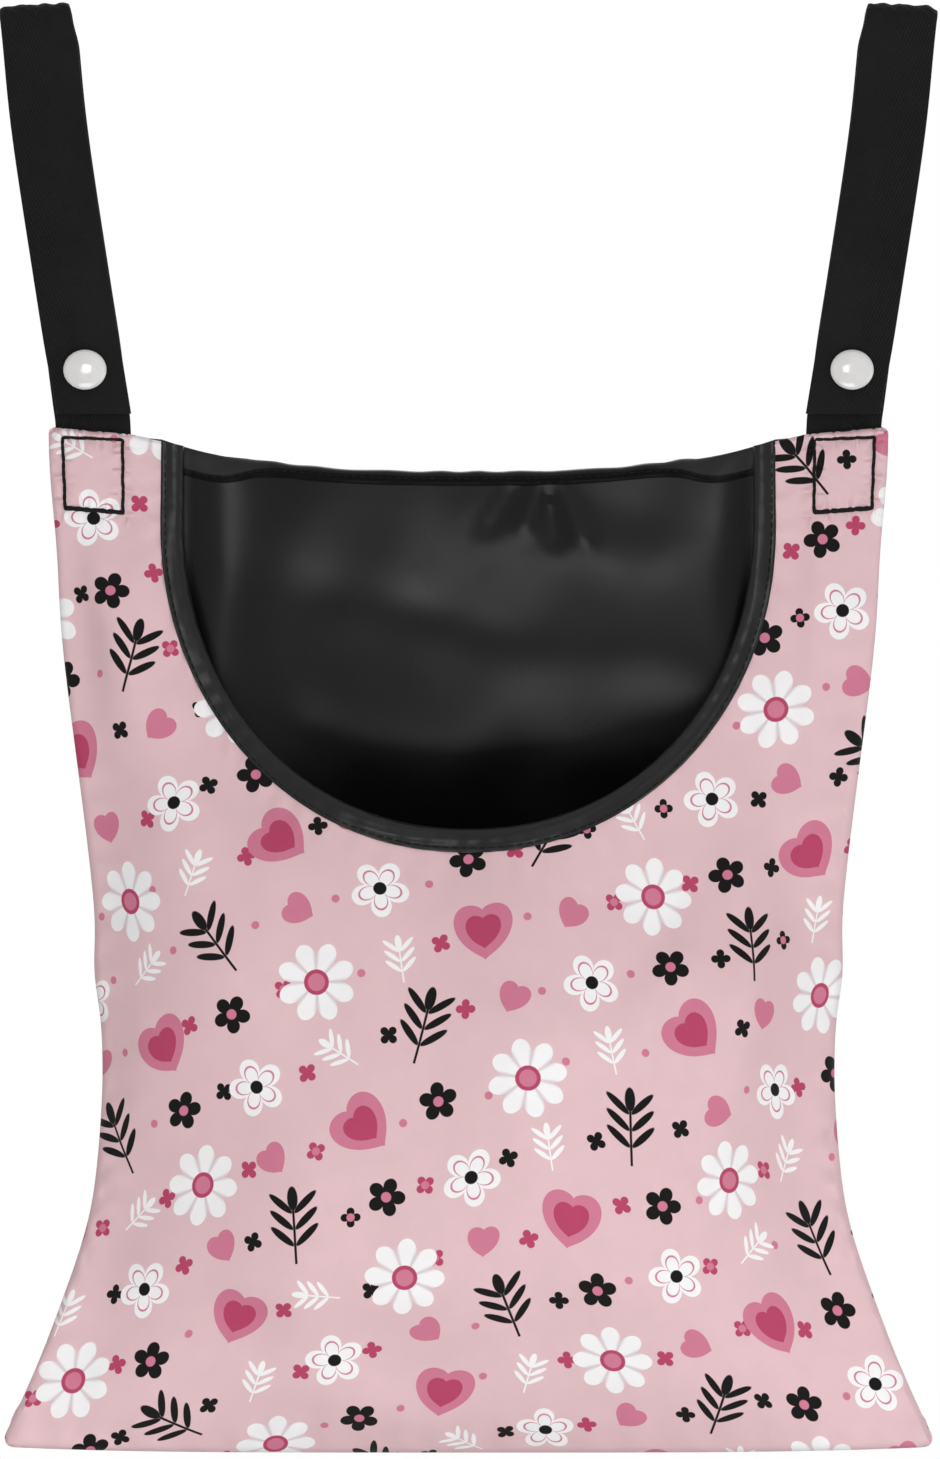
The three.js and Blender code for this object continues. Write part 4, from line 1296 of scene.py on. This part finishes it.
# Box stitch: stitches round the square that touch end to end, doubled along the bottom, on the front cloth
# and on the back.
def makeBoxStitch(side, label):
    corners = np.vstack([boxStitch["corners"], boxStitch["corners"][:1]])
    starts, ends = [], []
    for first, last in zip(corners[:-1], corners[1:]):
        count = int(np.ceil(np.linalg.norm(last - first) / boxStitch["length"]))
        share = np.arange(count)[:, None] / count
        starts.append(first + (last - first) * (share - boxStitch["lap"] / count))
        ends.append(first + (last - first) * (share + (1 + boxStitch["lap"]) / count))
    for row in (starts, ends):
        row.append(row[2] + [0, boxStitch["second"]])

    # places on the ear's cloth, off a straight line by a small wave
    def onEar(place, facing):
        wobble = boxStitch["wobble"] * np.sin(place[:, 0] * 0.9 + place[:, 1] * 0.7 + side)
        x, z = side * (place[:, 0] + wobble), place[:, 1] + wobble
        out = clothOut[facing](x, z) + layer["cloth"] - boxStitch["dent"] + boxStitch["rise"]
        return asPoints(x, facing * out, z)

    starts, ends = np.concatenate(starts), np.concatenate(ends)
    first, last = (np.concatenate([onEar(row, -1), onEar(row, 1)]) for row in (starts, ends))
    outward = np.repeat([facingFront, facingBack], len(starts), axis=0)
    return stitches(label + "EarStitches", first, last, outward,
                    boxStitch["thread"], boxStitch["thick"], boxStitch["narrow"])


# Point in millimetres to metres.
def metres(*point):
    return tuple(value * millimetre for value in point)


for side, label in bothSides:
    strapBody, tailBody = label + "_strap", label + "_tail"
    leg = dress(makeLeg(side, label), strapWebbing, None, "strap_webbing",
                label + "_strap_leg", label + "_strap_end")
    metres(side * bag["strapX"], 0, strap["root"] - 3.5)
    metres(side * bag["strapX"], 0, strap["root"] + 3.5)
    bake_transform(leg)
    fold = dress(makeFold(side, label), strapWebbing, None, "strap_webbing", label + "_strap_fold")
    metres(0, strap["bend"], 0)
    metres(0, -strap["bend"], 0)
    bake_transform(fold)
    dress(makeTail(side, label), strapWebbing, tailBody, "strap_webbing", label + "_strap_tail")
    for name, node, body, profile, oval in (
        ("StudCap", "_snap_cap", tailBody, capProfile(), stud["capOval"]),
        ("StudSocket", "_snap_socket", tailBody, stud["socket"], 1.0),
        ("StudPost", "_snap_stud", strapBody, stud["post"], 1.0),
        ("StudBack", "_snap_rivet", strapBody, stud["back"], 1.0),
    ):
        piece = turnedPiece(label + name, side, profile, oval)
        dress(piece, whitePlastic, body, "stud_plastic", label + node)
    dress(makeBoxStitch(side, label), blackThread, "bag", "black_thread", label + "_box_stitch")
print("straps and studs made")


white = (1, 1, 1, 1)
floor = {
    "height": -1550.0, "rings": (1.0, 400.0, 1500.0, 9000.0), "colour": (0.86, 0.86, 0.86, 1), "rough": 0.9,
    "fadeFrom": 0.45, "fadeTo": 1.2, "pale": 0.75,  # distances in metres, share of white within them
}
studio = {
    "world": 0.52,
    "lamps": [
        # place, width, watts
        ((-100.0, -1050.0, -1370.0), 900.0, 14.4),
        ((1410.0, -340.0, -680.0), 800.0, 5.4),
        ((-120.0, -2000.0, 40.0), 450.0, 6.8),
        ((400.0, -1400.0, 900.0), 900.0, 1.4),
        ((0.0, 1700.0, -100.0), 1400.0, 14.0),
    ],
    "aim": (0.0, 0.0, -270.0),
}
# Straight-on camera with a long lens. frameHeight is what it shows in the plane of the straps.
view = {"distance": 2200.0, "x": 0.5, "z": -236.8, "frameHeight": 486.3, "sensor": 36.0, "clipEnd": 100.0}


# 1 for the rays that show the background: from the camera, a reflection or a clear piece.
def backgroundRays(tree):
    path = addNode(tree, "ShaderNodeLightPath").outputs
    rays = [Wire(tree, path[f"Is {kind} Ray"]) for kind in ("Camera", "Glossy", "Transmission")]
    return rays[0].math("MAXIMUM", rays[1]).math("MAXIMUM", rays[2])


# Puts out a shader where the mask is 0 and plain white where it is 1.
def whiteOver(tree, mask, shader, kind, output):
    plain = nodeWire(tree, kind, {"Color": white, "Strength": 1.0})
    under = Wire(tree, tree.nodes[shader].outputs[0])
    mixed = nodeWire(tree, "ShaderNodeMixShader", {0: mask, 1: under, 2: plain})
    feed(tree, tree.nodes[output].inputs[0], mixed)


# Floor: a wide pale disc of rings that keeps the shadow near the bag and goes to plain white further out.
def makeFloor():
    angle, radius = roundAngles(96), np.array(floor["rings"])[:, None]
    points = asPoints(radius * np.cos(angle), radius * np.sin(angle), floor["height"])
    piece = surface("floor", points, ringed=True, capped=True)
    finish = {"Base Color": floor["colour"], "Roughness": floor["rough"]}
    material, tree, _ = newMaterial("pale floor", finish)
    place = nodeWire(tree, "ShaderNodeTexCoord", output="Object")
    split = addNode(tree, "ShaderNodeSeparateXYZ", {0: place}).outputs
    x, y = Wire(tree, split[0]), Wire(tree, split[1])
    far = ramp((x * x + y * y).math("SQRT"), floor["fadeFrom"], floor["fadeTo"], floor["pale"], 1.0)
    whiteOver(tree, far * backgroundRays(tree), "Principled BSDF", "ShaderNodeEmission", "Material Output")
    piece.data.materials.append(material)


# World: soft light all round, and plain white where the camera or a reflection sees it.
def makeWorld():
    world = bpy.data.worlds.new("studio")
    world.use_nodes = True
    scene.world = world
    tree = world.node_tree
    soft = tree.nodes["Background"].inputs
    soft["Color"].default_value, soft["Strength"].default_value = white, studio["world"]
    whiteOver(tree, backgroundRays(tree), "Background", "ShaderNodeBackground", "World Output")


# Links a lamp or camera at a place, turned to its target.
def aimed(name, data, place, target):
    piece = bpy.data.objects.new(name, data)
    piece.location = Vector(metres(*place))
    piece.rotation_euler = (Vector(metres(*target)) - piece.location).to_track_quat("-Z", "Y").to_euler()
    scene.collection.objects.link(piece)
    return piece


makeFloor()
makeWorld()
for number, (place, width, watts) in enumerate(studio["lamps"]):
    lamp = bpy.data.lights.new(f"lamp{number}", "AREA")
    lamp.shape, lamp.size, lamp.energy = "SQUARE", width * millimetre, watts
    aimed(f"lamp{number}", lamp, place, studio["aim"])
camera = bpy.data.cameras.new("camera")
camera.sensor_width, camera.clip_end = view["sensor"], view["clipEnd"]
camera.lens = view["sensor"] * view["distance"] / view["frameHeight"]
eye, target = (view["x"], -view["distance"], view["z"]), (view["x"], 0, view["z"])
scene.camera = aimed("camera", camera, eye, target)
scene.view_settings.view_transform = "Standard"
print("stage, light and camera set")
